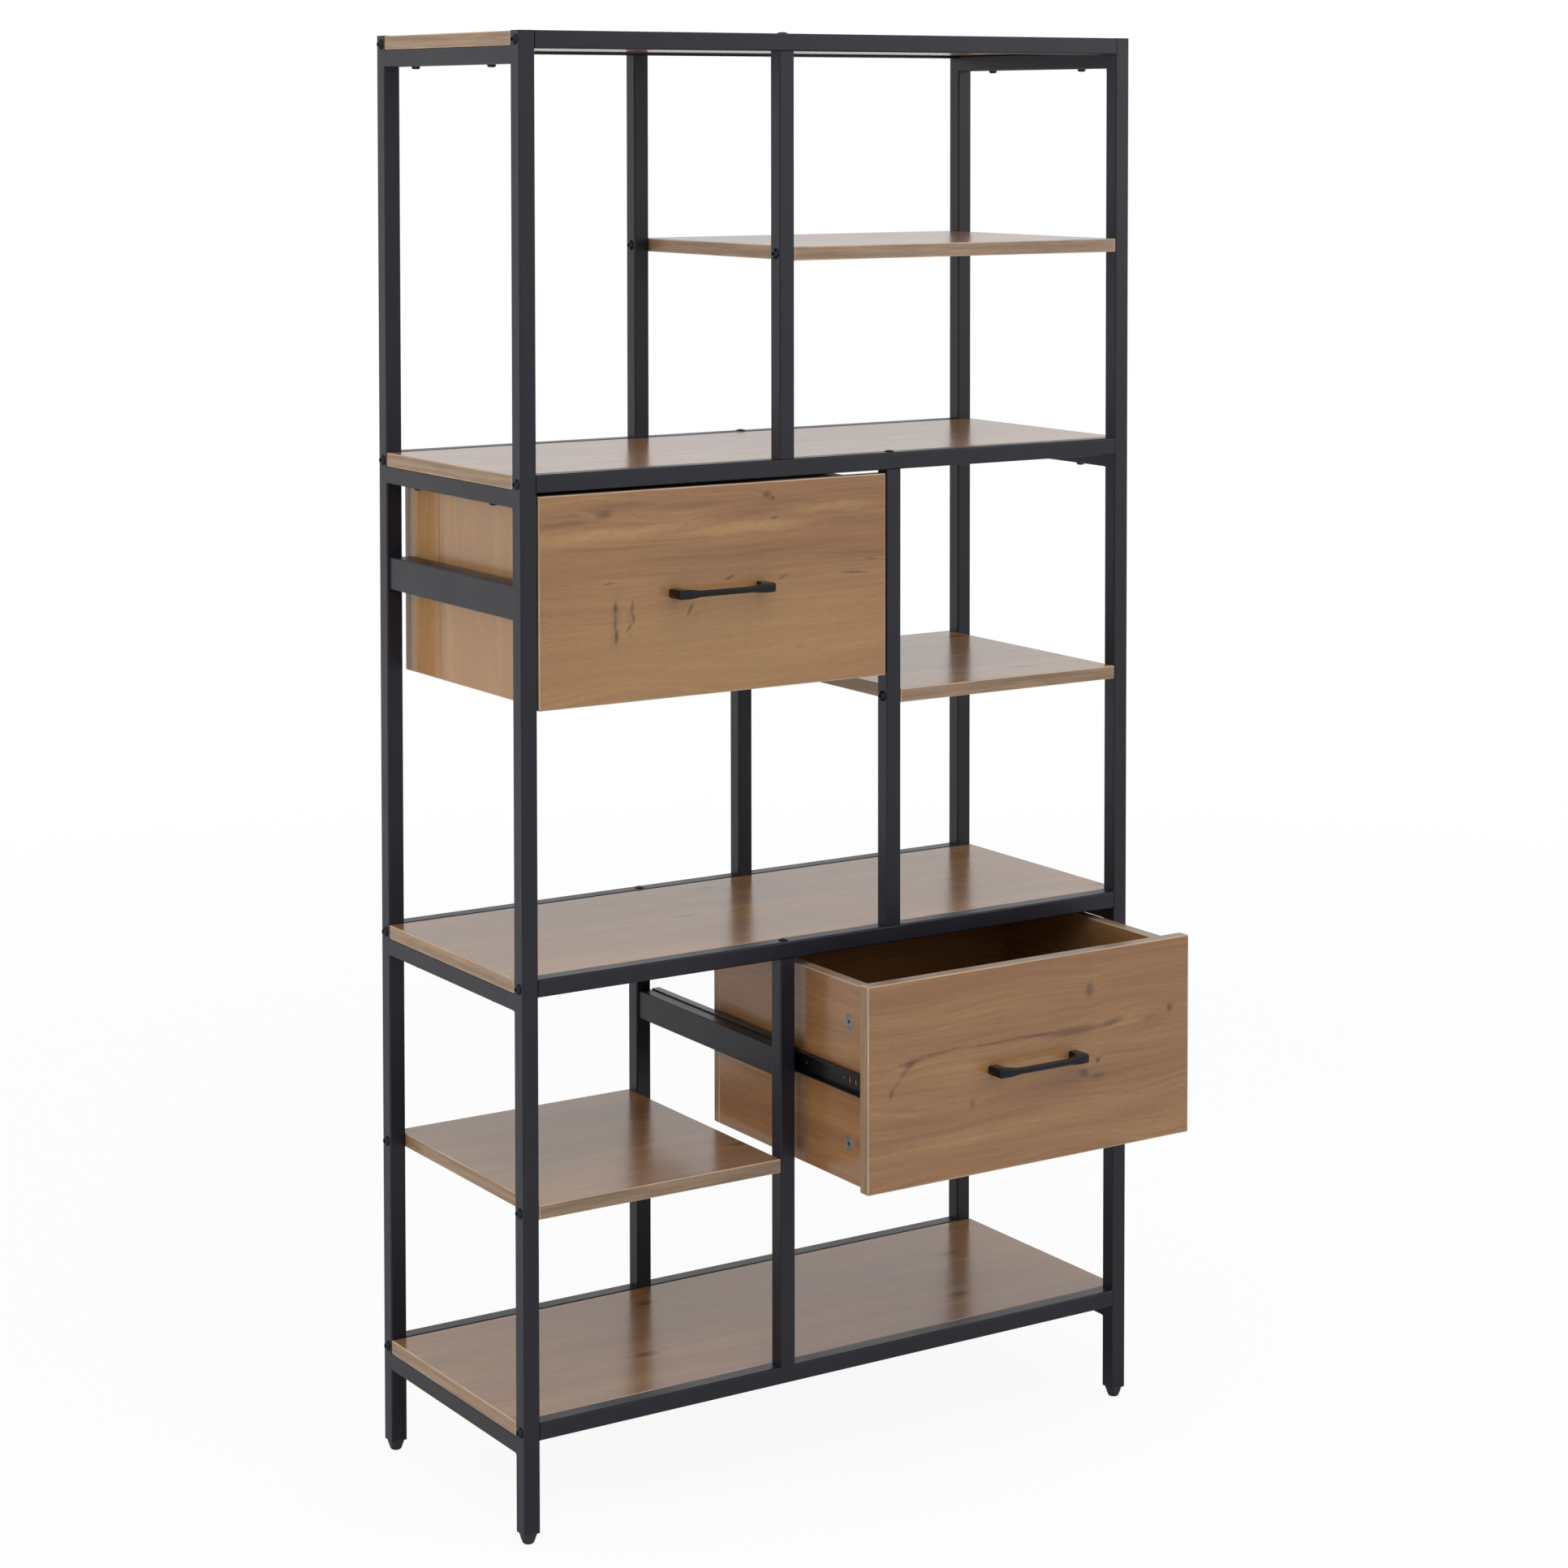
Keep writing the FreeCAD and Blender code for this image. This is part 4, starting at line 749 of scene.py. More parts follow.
def fastener_tree():
    """Puts a head and a shank on each point, facing the way that the point says."""
    tree, given = new_tree("fasteners", (
        ("Points", "Geometry"), ("Head", "Object"), ("Shank", "Object"),
        ("Head Width", "Float"), ("Shank Width", "Float"), ("Turn Seed", "Int"),
        ("Finish", "Material")))
    out = add(tree, "GeometryNodeInputNamedAttribute", {"Name": "out"},
              data_type="FLOAT_VECTOR")
    facing = add(tree, "FunctionNodeAlignRotationToVector", {"Vector": out}, axis="Z")
    chance = add(tree, "FunctionNodeRandomValue", {
        2: 0.0, 3: math.tau, "Seed": given["Turn Seed"]}, data_type="FLOAT")
    spin = add(tree, "FunctionNodeAxisAngleToRotation", {"Axis": UP, "Angle": chance})
    turned = add(tree, "FunctionNodeRotateRotation", {
        "Rotation": facing, "Rotate By": spin}, rotation_space="LOCAL")
    join = add(tree, "GeometryNodeJoinGeometry")
    for part, length in (("Head", "head_high"), ("Shank", "shank_long")):
        master = add(tree, "GeometryNodeObjectInfo", {"Object": given[part]})
        high = add(tree, "GeometryNodeInputNamedAttribute", {"Name": length},
                   data_type="FLOAT")
        wide = given[part + " Width"]
        size = add(tree, "ShaderNodeCombineXYZ", {"X": wide, "Y": wide, "Z": high})
        placed = add(tree, "GeometryNodeInstanceOnPoints", {
            "Points": given["Points"], "Instance": master.outputs["Geometry"],
            "Rotation": turned, "Scale": size})
        fill(tree, join, {"Geometry": placed})
    return end_tree(tree, join, given["Finish"])


def ball_tree():
    """Puts a ball on each point."""
    tree, given = new_tree("balls", (
        ("Points", "Geometry"), ("Ball Diameter", "Float"), ("Finish", "Material")))
    radius = add(tree, "ShaderNodeMath", {0: given["Ball Diameter"], 1: 0.5},
                 operation="MULTIPLY")
    ball = add(tree, "GeometryNodeMeshIcoSphere", {"Radius": radius, "Subdivisions": 3})
    placed = add(tree, "GeometryNodeInstanceOnPoints", {
        "Points": given["Points"], "Instance": ball})
    return end_tree(tree, placed, given["Finish"])


def grow(places, tree, inputs):
    """What a geometry tree makes of some points, as a bmesh.

    Each place is a point, the way that its fastener faces, the height of its head and the
    length of its shank.
    """
    mesh = bpy.data.meshes.new("points")
    mesh.from_pydata([place[0] for place in places], [], [])
    out = mesh.attributes.new("out", "FLOAT_VECTOR", "POINT")
    out.data.foreach_set("vector", [part for place in places for part in place[1]])
    for column, name in ((2, "head_high"), (3, "shank_long")):
        lengths = mesh.attributes.new(name, "FLOAT", "POINT")
        lengths.data.foreach_set("value", [place[column] for place in places])
    seed = set_down("points", mesh)
    modifier = seed.modifiers.new("grow", "NODES")
    modifier.node_group = tree
    for item in tree.interface.items_tree:
        if item.item_type == "SOCKET" and item.in_out == "INPUT" and item.name in inputs:
            modifier[item.identifier] = inputs[item.name]
    graph = bpy.context.evaluated_depsgraph_get()
    grown = bpy.data.meshes.new_from_object(seed.evaluated_get(graph), depsgraph=graph)
    bpy.data.objects.remove(seed)
    if not grown.polygons:
        raise RuntimeError("%s made nothing" % tree.name)
    shape = bmesh.new()
    shape.from_mesh(grown)
    bpy.data.meshes.remove(grown)
    for face in shape.faces:
        face.material_index = 0
    return shape


def master(name, shape):
    """A shape that a tree copies. It is taken away again by clear_masters."""
    return set_down(name, mesh_of(name, shape))


def clear_masters(items):
    """Takes away the shapes that a tree has copied."""
    for item in items:
        mesh = item.data
        bpy.data.objects.remove(item)
        bpy.data.meshes.remove(mesh)


def bolt_place(points):
    """Where a CAD bolt sits: its seat, the way its head faces, and its two lengths."""
    low, high, middle = limits(points)
    size = high - low
    axis = max(range(3), key=lambda a: size[a])
    half_head = max(size[a] for a in range(3) if a != axis) / 2

    def off_axis(point):
        offset = point - middle
        offset[axis] = 0.0
        return offset.length

    head = [point[axis] for point in points if off_axis(point) > HEAD_RIM * half_head]
    faces_up = abs(max(head) - high[axis]) < abs(min(head) - low[axis])
    seat = min(head) if faces_up else max(head)
    end = low[axis] if faces_up else high[axis]
    place = middle.copy()
    place[axis] = seat
    out = [0.0, 0.0, 0.0]
    out[axis] = 1.0 if faces_up else -1.0
    return place, out, max(head) - min(head), abs(seat - end)


class BOOKCASE_OT_bolts(bpy.types.Operator):
    """Turns the bolts: domed heads with a hexagon socket, as they came to rest."""
    bl_idname = "bookcase.bolts"
    bl_label = "Make the bolts"

    def execute(self, context):
        sizes = context.scene.bookcase_bolts
        finish = black_oxide_steel()
        tree = fastener_tree()
        head = master("button_head", button_head(sizes.socket))
        shank = master("bolt_shank", round_shank())
        for number, node in enumerate(BOLTS):
            places = [bolt_place(points) for points in separate_solids(node)]
            shape = grow(places, tree, {
                "Head": head, "Shank": shank, "Head Width": sizes.head,
                "Shank Width": sizes.shank, "Turn Seed": sizes.turn_seed + number,
                "Finish": finish})
            new_piece(node + "_turned", shape, (finish,), "frame", (node,),
                      SHARP_TURNED)
        clear_masters((head, shank))
        return {"FINISHED"}


# From the middle of a board or a box to its screws, how far they run in, and some heads.
SHELF_SCREW_SPREAD = 92 * MM
SHELF_SCREW_LONG = 32 * MM
SHELF_SCREW_HEAD = 10 * MM
SHELF_SCREW_HEAD_HIGH = 3.3 * MM
PULL_SCREW_SPREAD = 58 * MM
PULL_SCREW_LONG = 24 * MM
BACK_SCREW_SPREAD = 75 * MM
BACK_SCREW_LONG = 35 * MM
BACK_SCREW_HIGH = 0.4 * MM      # a countersunk head stands this little proud of the back
SLIDE_SCREW_FROM_FRONT = 118 * MM
SLIDE_SCREW_HIGH = 2.0 * MM
SLIDE_SCREW_LONG = 12 * MM
SLIDE_WALL = 1.2 * MM           # thickness of a slide's strip, which its screw sits on


def shelf_screw_places():
    """Two screws up through each side rail into its shelf."""
    places = []
    for node in SIDE_RAILS:
        for points in separate_solids(node):
            low, _, middle = limits(points)
            for side in (-1, 1):
                spot = (middle.x, middle.y + side * SHELF_SCREW_SPREAD, low.z)
                places.append((spot, DOWN, SHELF_SCREW_HEAD_HIGH, SHELF_SCREW_LONG))
    return places


def drawer_screw_places(name, head_high):
    """The screws of a drawer's pull and of its back."""
    places = []
    front_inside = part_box(name + "_drawer_front")[1].y
    back_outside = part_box(name + "_drawer_back")[1].y
    pull = box_middle(name + "_pull")
    for side in (-1, 1):
        spot = (pull.x + side * PULL_SCREW_SPREAD, front_inside, pull.z)
        places.append((spot, REARWARDS, head_high, PULL_SCREW_LONG))
    for hand in HANDS:
        board = box_middle("%s_drawer_side_%s" % (name, hand))
        for way in (-1, 1):
            spot = (board.x, back_outside, board.z + way * BACK_SCREW_SPREAD)
            places.append((spot, REARWARDS, BACK_SCREW_HIGH, BACK_SCREW_LONG))
    return places


def slide_screw_places(name):
    """The screw that holds each slide's inner member to the box."""
    places = []
    for points, out in zip(separate_solids(name + "_slide_inners"), (-1.0, 1.0)):
        low, high, middle = limits(points)
        web = high.x - SLIDE_WALL if out < 0 else low.x + SLIDE_WALL
        spot = (web, low.y + SLIDE_SCREW_FROM_FRONT, middle.z)
        places.append((spot, (out, 0.0, 0.0), SLIDE_SCREW_HIGH, SLIDE_SCREW_LONG))
    return places


class BOOKCASE_OT_screws(bpy.types.Operator):
    """Drives the screws: black in the shelves and slides, plated in the pulls and backs."""
    bl_idname = "bookcase.screws"
    bl_label = "Drive the screws"

    def execute(self, context):
        sizes = context.scene.bookcase_screws
        black = black_oxide_steel()
        plated = zinc_plated_steel()
        tree = fastener_tree()
        head = master("pan_head", pan_head())
        shank = master("screw_shank", round_shank())
        inputs = {"Head": head, "Shank": shank, "Head Width": SHELF_SCREW_HEAD,
                  "Shank Width": sizes.shank, "Turn Seed": sizes.turn_seed, "Finish": black}
        shape = grow(shelf_screw_places(), tree, inputs)
        new_piece("shelf_screws", shape, (black,), "frame", (), SHARP_TURNED)
        inputs["Head Width"] = sizes.head
        inputs["Finish"] = plated
        for number, name in enumerate(DRAWERS):
            inputs["Turn Seed"] = sizes.turn_seed + 1 + number
            shape = grow(drawer_screw_places(name, sizes.head_high), tree, inputs)
            blacks = dict(inputs, Finish=black)
            join_shape(shape, grow(slide_screw_places(name), tree, blacks), 1)
            new_piece(name + "_drawer_screws", shape, (plated, black), name + "_drawer",
                      (), SHARP_TURNED)
        clear_masters((head, shank))
        return {"FINISHED"}


CAM_RIM = 17.2 * MM             # across the rim that covers the edge of the bore
CAM_RIM_HIGH = 0.45 * MM
CAM_BODY = 15.0 * MM            # across the part in the bore
CAM_DEEP = 11.5 * MM
CAM_RECESS_DEEP = 2.6 * MM
CAM_BOLT = 6.8 * MM             # across the bolt that a cam draws on
CAM_TURN_SEED = 40              # of the angles at which the cams came to rest


def cam_shape():
    """A cam with a rim, a turned groove and a cross recess, one across and its rim one high."""
    body = CAM_BODY / CAM_RIM / 2
    recess = cross(0.15, 0.05)
    return lathe((
        (body, -CAM_DEEP / CAM_RIM_HIGH), (body, 0.0), (0.50, 0.0), (0.50, 0.6), (0.485, 1.0),
        (0.42, 1.0), (0.405, 0.35), (0.385, 0.35), (0.37, 0.9), (recess, 0.9),
        (recess, -CAM_RECESS_DEEP / CAM_RIM_HIGH)))


def cam_places(name):
    """The drawer's cams, and the bolts in its front that they draw on."""
    cams = []
    bolts = []
    box_x = box_middle(name + "_drawer_back").x
    for points in separate_solids(name + "_drawer_fixings"):
        low, high, middle = limits(points)
        if high.z - low.z > 2 * CAM_BOLT:
            out = 1.0 if middle.x > box_x else -1.0
            face = high.x if out > 0 else low.x
            cams.append(((face, middle.y, middle.z), (out, 0.0, 0.0), CAM_RIM_HIGH, 0.0))
        else:
            bolts.append(((middle.x, low.y, middle.z), FORWARDS, 0.0, high.y - low.y))
    return cams, bolts


class BOOKCASE_OT_cams(bpy.types.Operator):
    """Sets the cams that draw each drawer's sides to its front, and their bolts."""
    bl_idname = "bookcase.cams"
    bl_label = "Set the cams"

    def execute(self, context):
        casting = zinc_die_casting()
        tree = fastener_tree()
        cam = master("cam", cam_shape())
        shank = master("cam_bolt", round_shank())
        for number, name in enumerate(DRAWERS):
            cams, bolts = cam_places(name)
            shape = grow(cams, tree, {
                "Head": cam, "Head Width": CAM_RIM, "Turn Seed": CAM_TURN_SEED + number,
                "Finish": casting})
            join_shape(shape, grow(bolts, tree, {
                "Shank": shank, "Shank Width": CAM_BOLT, "Finish": casting}))
            node = name + "_drawer_fixings"
            new_piece(node + "_set", shape, (casting,), body_of(node), (node,),
                      SHARP_TURNED)
        clear_masters((cam, shank))
        return {"FINISHED"}


# ---------------------------------------------------------------- boards

ON_SIDE = 0.01 * MM         # an edge closer than this to a side of the board's box lies on it
EDGE_DECOR = 0.3            # metres across the decor from the faces to the edges facing along x
NEXT_EDGE_DECOR = 0.5       # and from those on to the ones facing along y, and then along z
SQUARE = 0.99               # a face whose normal is this close to an axis isn't rounded
# The edging and its rounded rim: the darkest and the lightest streak, and the roughness. The rim
#  is paler: partly the plastic's core, partly a painted highlight along the rounded edges.
EDGING = ("#745C44", "#90765B", 0.36)
EDGING_RIM_AND_HIGHLIGHT = ("#A38A70", "#BFA68B", 0.6)


def outer_edges(shape, low, high):
    """The board's edges that lie on two sides of its box: the ones that are banded."""
    def sides(edge):
        return sum(all(abs(vert.co[axis] - limit[axis]) < ON_SIDE for vert in edge.verts)
                   for axis in range(3) for limit in (low, high))
    return [edge for edge in shape.edges if sides(edge) == 2]


def lay_grain(shape, middle, thick, along, start):
    """The grain map, in metres along and across the grain, and the three materials.

    The faces get the first material, the banded edges the second and their roundings the third,
    which is paler: partly the plastic's core, partly a painted highlight.
    """
    layer = shape.loops.layers.uv.new("grain")
    for face in shape.faces:
        facing = max(range(3), key=lambda a: abs(face.normal[a]))
        square = abs(face.normal[facing]) > SQUARE
        if square and facing == thick:
            face.material_index = 0
            run = along
            away = 0.0
        else:
            # Rounded faces take the pale rim: partly the plastic's core, partly a painted
            # highlight.
            face.material_index = 1 if square else 2
            facing = max((a for a in range(3) if a != thick), key=lambda a: abs(face.normal[a]))
            run = next(a for a in range(3) if a not in (thick, facing))
            away = NEXT_EDGE_DECOR * facing + EDGE_DECOR
        cross_axis = next(a for a in range(3) if a not in (run, facing))
        for loop in face.loops:
            spot = loop.vert.co - middle
            loop[layer].uv = (start[0] + spot[run], start[1] + spot[cross_axis] + away)


def make_board(node, grain, start, materials):
    """A board with its banded edges rounded off."""
    low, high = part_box(node)
    size = high - low
    thick = min(range(3), key=lambda a: size[a])
    shape = merged_copy(node)
    radius = bpy.context.scene.bookcase_boards.edge_radius
    bmesh.ops.bevel(shape, geom=outer_edges(shape, low, high), offset=radius, segments=3,
                    profile=0.5, affect="EDGES")
    lay_grain(shape, box_middle(node), thick, AXES.index(grain), start)
    new_piece(node + "_board", shape, materials, body_of(node), (node,))


class BOOKCASE_OT_boards(bpy.types.Operator):
    """Makes the shelves and the drawer boards with their decor and edge banding."""
    bl_idname = "bookcase.boards"
    bl_label = "Make the boards"

    def execute(self, context):
        materials = (melamine_oak(), abs_edging("abs_edging", *EDGING),
                     # The third material is the pale rim: partly the plastic's core, partly a
                     # painted highlight.
                     abs_edging("abs_edging_rim_and_highlight", *EDGING_RIM_AND_HIGHLIGHT))
        for slot, boards in (("shelf_board", SHELVES), ("drawer_board", DRAWER_BOARDS)):
            for node, grain, start in boards:
                make_board(node, grain, start, materials)
        coat([name + "_drawer_bottom" for name in DRAWERS], hardboard())
        return {"FINISHED"}


# ---------------------------------------------------------------- frame

TUBE_CORNER = 2.0 * MM          # rounding of the square tube
WELD_STEPS = 6


def add_weld(shape, face_x, end_y, inward, onward, low_z, high_z):
    """A ground weld that fills the groove between a rail's end and a post's round corner.

    It stands on the rail's end, between the face of both tubes and the round of the post.
    """
    plan = [(face_x, end_y + onward * TUBE_CORNER), (face_x, end_y)]
    for angle in quarter_turn(WELD_STEPS)[:-1]:
        plan.append((face_x + inward * TUBE_CORNER * (1 - math.sin(angle)),
                     end_y + onward * TUBE_CORNER * (1 - math.cos(angle))))
    skin(shape, [[shape.verts.new((x, y, z)) for x, y in plan] for z in (low_z, high_z)])


class BOOKCASE_OT_steel(bpy.types.Operator):
    """Coats the posts and rails of the frame, and fills the ground welds of its side rails."""
    bl_idname = "bookcase.steel"
    bl_label = "Coat the frame"

    def execute(self, context):
        coating = powder_coated_steel(context.scene.bookcase_colours.coating)
        coat(FRAME_NODES, coating)
        shape = bmesh.new()
        for node in SIDE_RAILS:
            for points in separate_solids(node):
                low, high, _ = limits(points)
                for face_x, inward in ((low.x, 1), (high.x, -1)):
                    for end_y, onward in ((low.y, -1), (high.y, 1)):
                        add_weld(shape, face_x, end_y, inward, onward, low.z, high.z)
        new_piece("side_rail_welds", shape, (coating,), "frame", (),
                  SHARP_GROUND)
        coat(("post_caps", "levelling_feet"), moulded_polypropylene())
        return {"FINISHED"}


# ---------------------------------------------------------------- pulls

PULL_LEG = 12 * MM              # width of a leg
PULL_BAR = 6 * MM               # thickness of the bar, front to back
PULL_BAR_HIGH = 7 * MM
PULL_END_REACH = 24 * MM        # panel to the face of the pull, at its ends
PULL_WAIST = 32 * MM            # half the length of the narrow part of the bar
PULL_SHOULDER = 51 * MM         # from here outwards the pull has its full height
PULL_LEG_WALL = 9 * MM          # panel to where a leg's inner side starts to bend to the bar
PULL_BEND = 11 * MM             # length of that bend along the bar
PULL_END_ROUND = 2.2 * MM       # rounding of the ends, seen from the front and from above
PULL_EDGE = 1.7 * MM            # rounding of the long edges
PULL_EDGE_STEPS = 4
PULL_BAR_STEPS = 16
PULL_END_STEPS = 5
PULL_BEND_STEPS = 8


def pull_stations(half_long, reach, high):
    """Half the pull, end first: (across, back, front, height), back and front from the panel."""
    def front(across):
        return reach - (reach - PULL_END_REACH) * (across / half_long) ** 2

    def tall(across):
        part = (across - PULL_WAIST) / (PULL_SHOULDER - PULL_WAIST)
        part = min(1.0, max(0.0, part))
        return PULL_BAR_HIGH + (high - PULL_BAR_HIGH) * part * part * (3 - 2 * part)

    leg = half_long - PULL_LEG
    stations = []
    for angle in quarter_turn(PULL_END_STEPS):
        cut = PULL_END_ROUND * (1 - math.sin(angle))
        across = half_long - PULL_END_ROUND * (1 - math.cos(angle))
        stations.append((across, 0.0, front(across) - cut, tall(across) - 2 * cut))
    for across in (half_long - PULL_LEG / 2, leg):
        stations.append((across, 0.0, front(across), tall(across)))
    for angle in quarter_turn(PULL_BEND_STEPS):
        across = leg - PULL_BEND * (1 - math.cos(angle))
        bar_back = front(across) - PULL_BAR
        back = PULL_LEG_WALL + (bar_back - PULL_LEG_WALL) * math.sin(angle)
        stations.append((across, back, front(across), tall(across)))
    for step in range(1, PULL_BAR_STEPS + 1):
        across = (leg - PULL_BEND) * (1 - step / PULL_BAR_STEPS)
        stations.append((across, front(across) - PULL_BAR, front(across), tall(across)))
    return stations


def soft_rectangle(back, front, tall):
    """Points (out, up) round a rectangle with rounded corners."""
    points = []
    for corner, (out_side, up_side) in enumerate(((1, 1), (-1, 1), (-1, -1), (1, -1))):
        centre_out = (front - PULL_EDGE) if out_side > 0 else (back + PULL_EDGE)
        centre_up = up_side * (tall / 2 - PULL_EDGE)
        for angle in quarter_turn(PULL_EDGE_STEPS):
            angle += corner * math.pi / 2
            points.append((centre_out + PULL_EDGE * math.cos(angle),
                           centre_up + PULL_EDGE * math.sin(angle)))
    return points


def pull_shape(low, high):
    """A cast bow pull: rounded sections set along it from one end to the other."""
    middle = (low + high) / 2
    half = pull_stations((high.x - low.x) / 2, high.y - low.y, high.z - low.z)
    whole = half + [(-across, *rest) for across, *rest in reversed(half[:-1])]
    shape = bmesh.new()
    skin(shape, [[shape.verts.new((middle.x + across, high.y - out, middle.z + up))
                  for out, up in soft_rectangle(back, front, tall)]
                 for across, back, front, tall in whole])
    return shape


class BOOKCASE_OT_pulls(bpy.types.Operator):
    """Casts the two bow pulls."""
    bl_idname = "bookcase.pulls"
    bl_label = "Cast the pulls"

    def execute(self, context):
        lacquer = black_lacquered_zinc(context.scene.bookcase_colours.lacquer)
        for name in DRAWERS:
            node = name + "_pull"
            new_piece(node + "_cast", pull_shape(*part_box(node)), (lacquer,), body_of(node),
                      (node,), SHARP_ROUNDED)
        return {"FINISHED"}


# ---------------------------------------------------------------- slides

CAGE_STRIP_HIGH = 1.2 * MM
CAGE_STRIP_PLAY = 0.2 * MM      # on either side of the strip, in its race
CAGE_END = 5 * MM               # end of a cage to the middle of its last ball
CAGE_EDGE = 0.3 * MM            # rounding of a cage's edges


def add_cage_strip(shape, size, middle):
    """The strip that holds the balls, with rounded edges, half way up its race."""
    made = bmesh.ops.create_cube(shape, size=1.0)["verts"]
    bmesh.ops.scale(shape, verts=made, vec=(
        size.x - 2 * CAGE_STRIP_PLAY, size.y, CAGE_STRIP_HIGH))
    bmesh.ops.translate(shape, verts=made, vec=middle)
    edges = {edge for vert in made for edge in vert.link_edges}
    bmesh.ops.bevel(shape, geom=list(edges), offset=CAGE_EDGE, segments=2, profile=0.5,
                    affect="EDGES")


class BOOKCASE_OT_slides(bpy.types.Operator):
    """Finishes the slides: coated members, the cages' strips and their balls."""
    bl_idname = "bookcase.slides"
    bl_label = "Finish the slides"

    def execute(self, context):
        sizes = context.scene.bookcase_slides
        coated = black_ecoated_steel()
        strip = oiled_steel_strip()
        polished = bearing_steel()
        tree = ball_tree()
        for name in DRAWERS:
            coat((name + "_slide_outers", name + "_slide_inners"), coated)
            node = name + "_ball_cages"
            shape = bmesh.new()
            places = []
            for points in separate_solids(node):
                low, high, middle = limits(points)
                add_cage_strip(shape, high - low, middle)
                step = (high.y - low.y - 2 * CAGE_END) / (sizes.balls_in_a_cage - 1)
                for number in range(sizes.balls_in_a_cage):
                    spot = (middle.x, low.y + CAGE_END + step * number, middle.z)
                    places.append((spot, UP, 0.0, 0.0))
            balls = grow(places, tree, {"Ball Diameter": sizes.ball, "Finish": polished})
            join_shape(shape, balls, 1)
            new_piece(node + "_run", shape, (strip, polished), body_of(node),
                      (node,), SHARP_ROUNDED)
        return {"FINISHED"}


# ---------------------------------------------------------------- stage

CAMERA_PLACE = (-2.2324, -3.4232, 1.5775)
CAMERA_TURN = 0.5733        # radians from +Y towards +X
CAMERA_TILT = -0.04252      # radians up
CAMERA_ROLL = -0.00088
CAMERA_LENS = 80.18         # mm
CAMERA_SENSOR = 36.0        # mm across
CAMERA_SHIFT = -0.3319      # as a part of the frame's width; it keeps the posts upright
CAMERA_SEES = (0.05, 60.0)  # metres, nearest and farthest

# Each lamp: its place and what it is turned to, its width and height, its power in watts, its
# colour, and whether it shows in a gloss.
LAMPS = {
    "key_lamp": ((-1.8, -2.6, 3.4), (0.0, 0.0, 1.2), (2.0, 2.0), 36.0, "#E6EAFF", True),
    "side_lamp": ((-4.0, 0.6, 1.6), (0.0, 0.0, 0.9), (1.8, 2.4), 60.0, "#FFF6EC", False),
    "top_lamp": ((0.2, -1.4, 3.6), (0.2, 0.0, 0.6), (2.0, 2.0), 30.0, "#E6EDFF", False),
    "fill_lamp": ((2.6, -2.4, 2.2), (0.0, 0.0, 0.9), (2.0, 2.0), 22.0, "#FFFFFF", True),
}
ROOM_LIGHT = 0.62           # how strongly the white room lights the object
FLOOR_RADIUS = 6.0
FLOOR_FADE = (1.6, 4.5)     # metres from the middle, where the floor starts and ends to fade
FLOOR_GLOW = 0.92           # how much of the floor's own white the camera sees


def add_camera(scene):
    """The camera, from its place, its three turns and its lens."""
    turn, tilt, roll = CAMERA_TURN, CAMERA_TILT, CAMERA_ROLL
    forward = Vector((math.sin(turn) * math.cos(tilt), math.cos(turn) * math.cos(tilt),
                      math.sin(tilt)))
    level = Vector((math.cos(turn), -math.sin(turn), 0.0))
    upright = level.cross(forward)
    right = level * math.cos(roll) + upright * math.sin(roll)
    up = upright * math.cos(roll) - level * math.sin(roll)
    data = bpy.data.cameras.new("camera")
    data.sensor_width = CAMERA_SENSOR
    data.lens = CAMERA_LENS
    data.shift_y = CAMERA_SHIFT
    data.clip_start, data.clip_end = CAMERA_SEES
    camera = set_down("camera", data)
    turned = Matrix((right, up, -forward)).transposed().to_4x4()
    camera.matrix_world = Matrix.Translation(CAMERA_PLACE) @ turned
    scene.camera = camera


def add_world(scene):
    """A white room: plain white where it is seen, softer where it lights the object.

    A ray sees it from the camera, in a gloss or through glass.
    """
    world = bpy.data.worlds.new("studio")
    tree = empty_tree(world)
    path = add(tree, "ShaderNodeLightPath").outputs
    seen = path["Is Camera Ray"]
    for ray in ("Is Glossy Ray", "Is Transmission Ray"):
        seen = add(tree, "ShaderNodeMath", {0: seen, 1: path[ray]}, operation="MAXIMUM")
    level = add(tree, "ShaderNodeMapRange", {"Value": seen, "To Min": ROOM_LIGHT})
    back = add(tree, "ShaderNodeBackground", {"Color": linear("#FFFFFF"), "Strength": level})
    add(tree, "ShaderNodeOutputWorld", {"Surface": back})
    scene.world = world


def add_lamp(name, place, target, size, power, colour, in_gloss):
    """A soft rectangular lamp, turned to its target."""
    data = bpy.data.lights.new(name, "AREA")
    data.color = linear(colour)[:3]
    data.shape = "RECTANGLE"
    data.size, data.size_y = size
    data.energy = power
    lamp = set_down(name, data)
    aim = Vector(target) - Vector(place)
    lamp.rotation_euler = aim.to_track_quat("-Z", "Y").to_euler()
    lamp.location = place
    lamp.visible_glossy = in_gloss


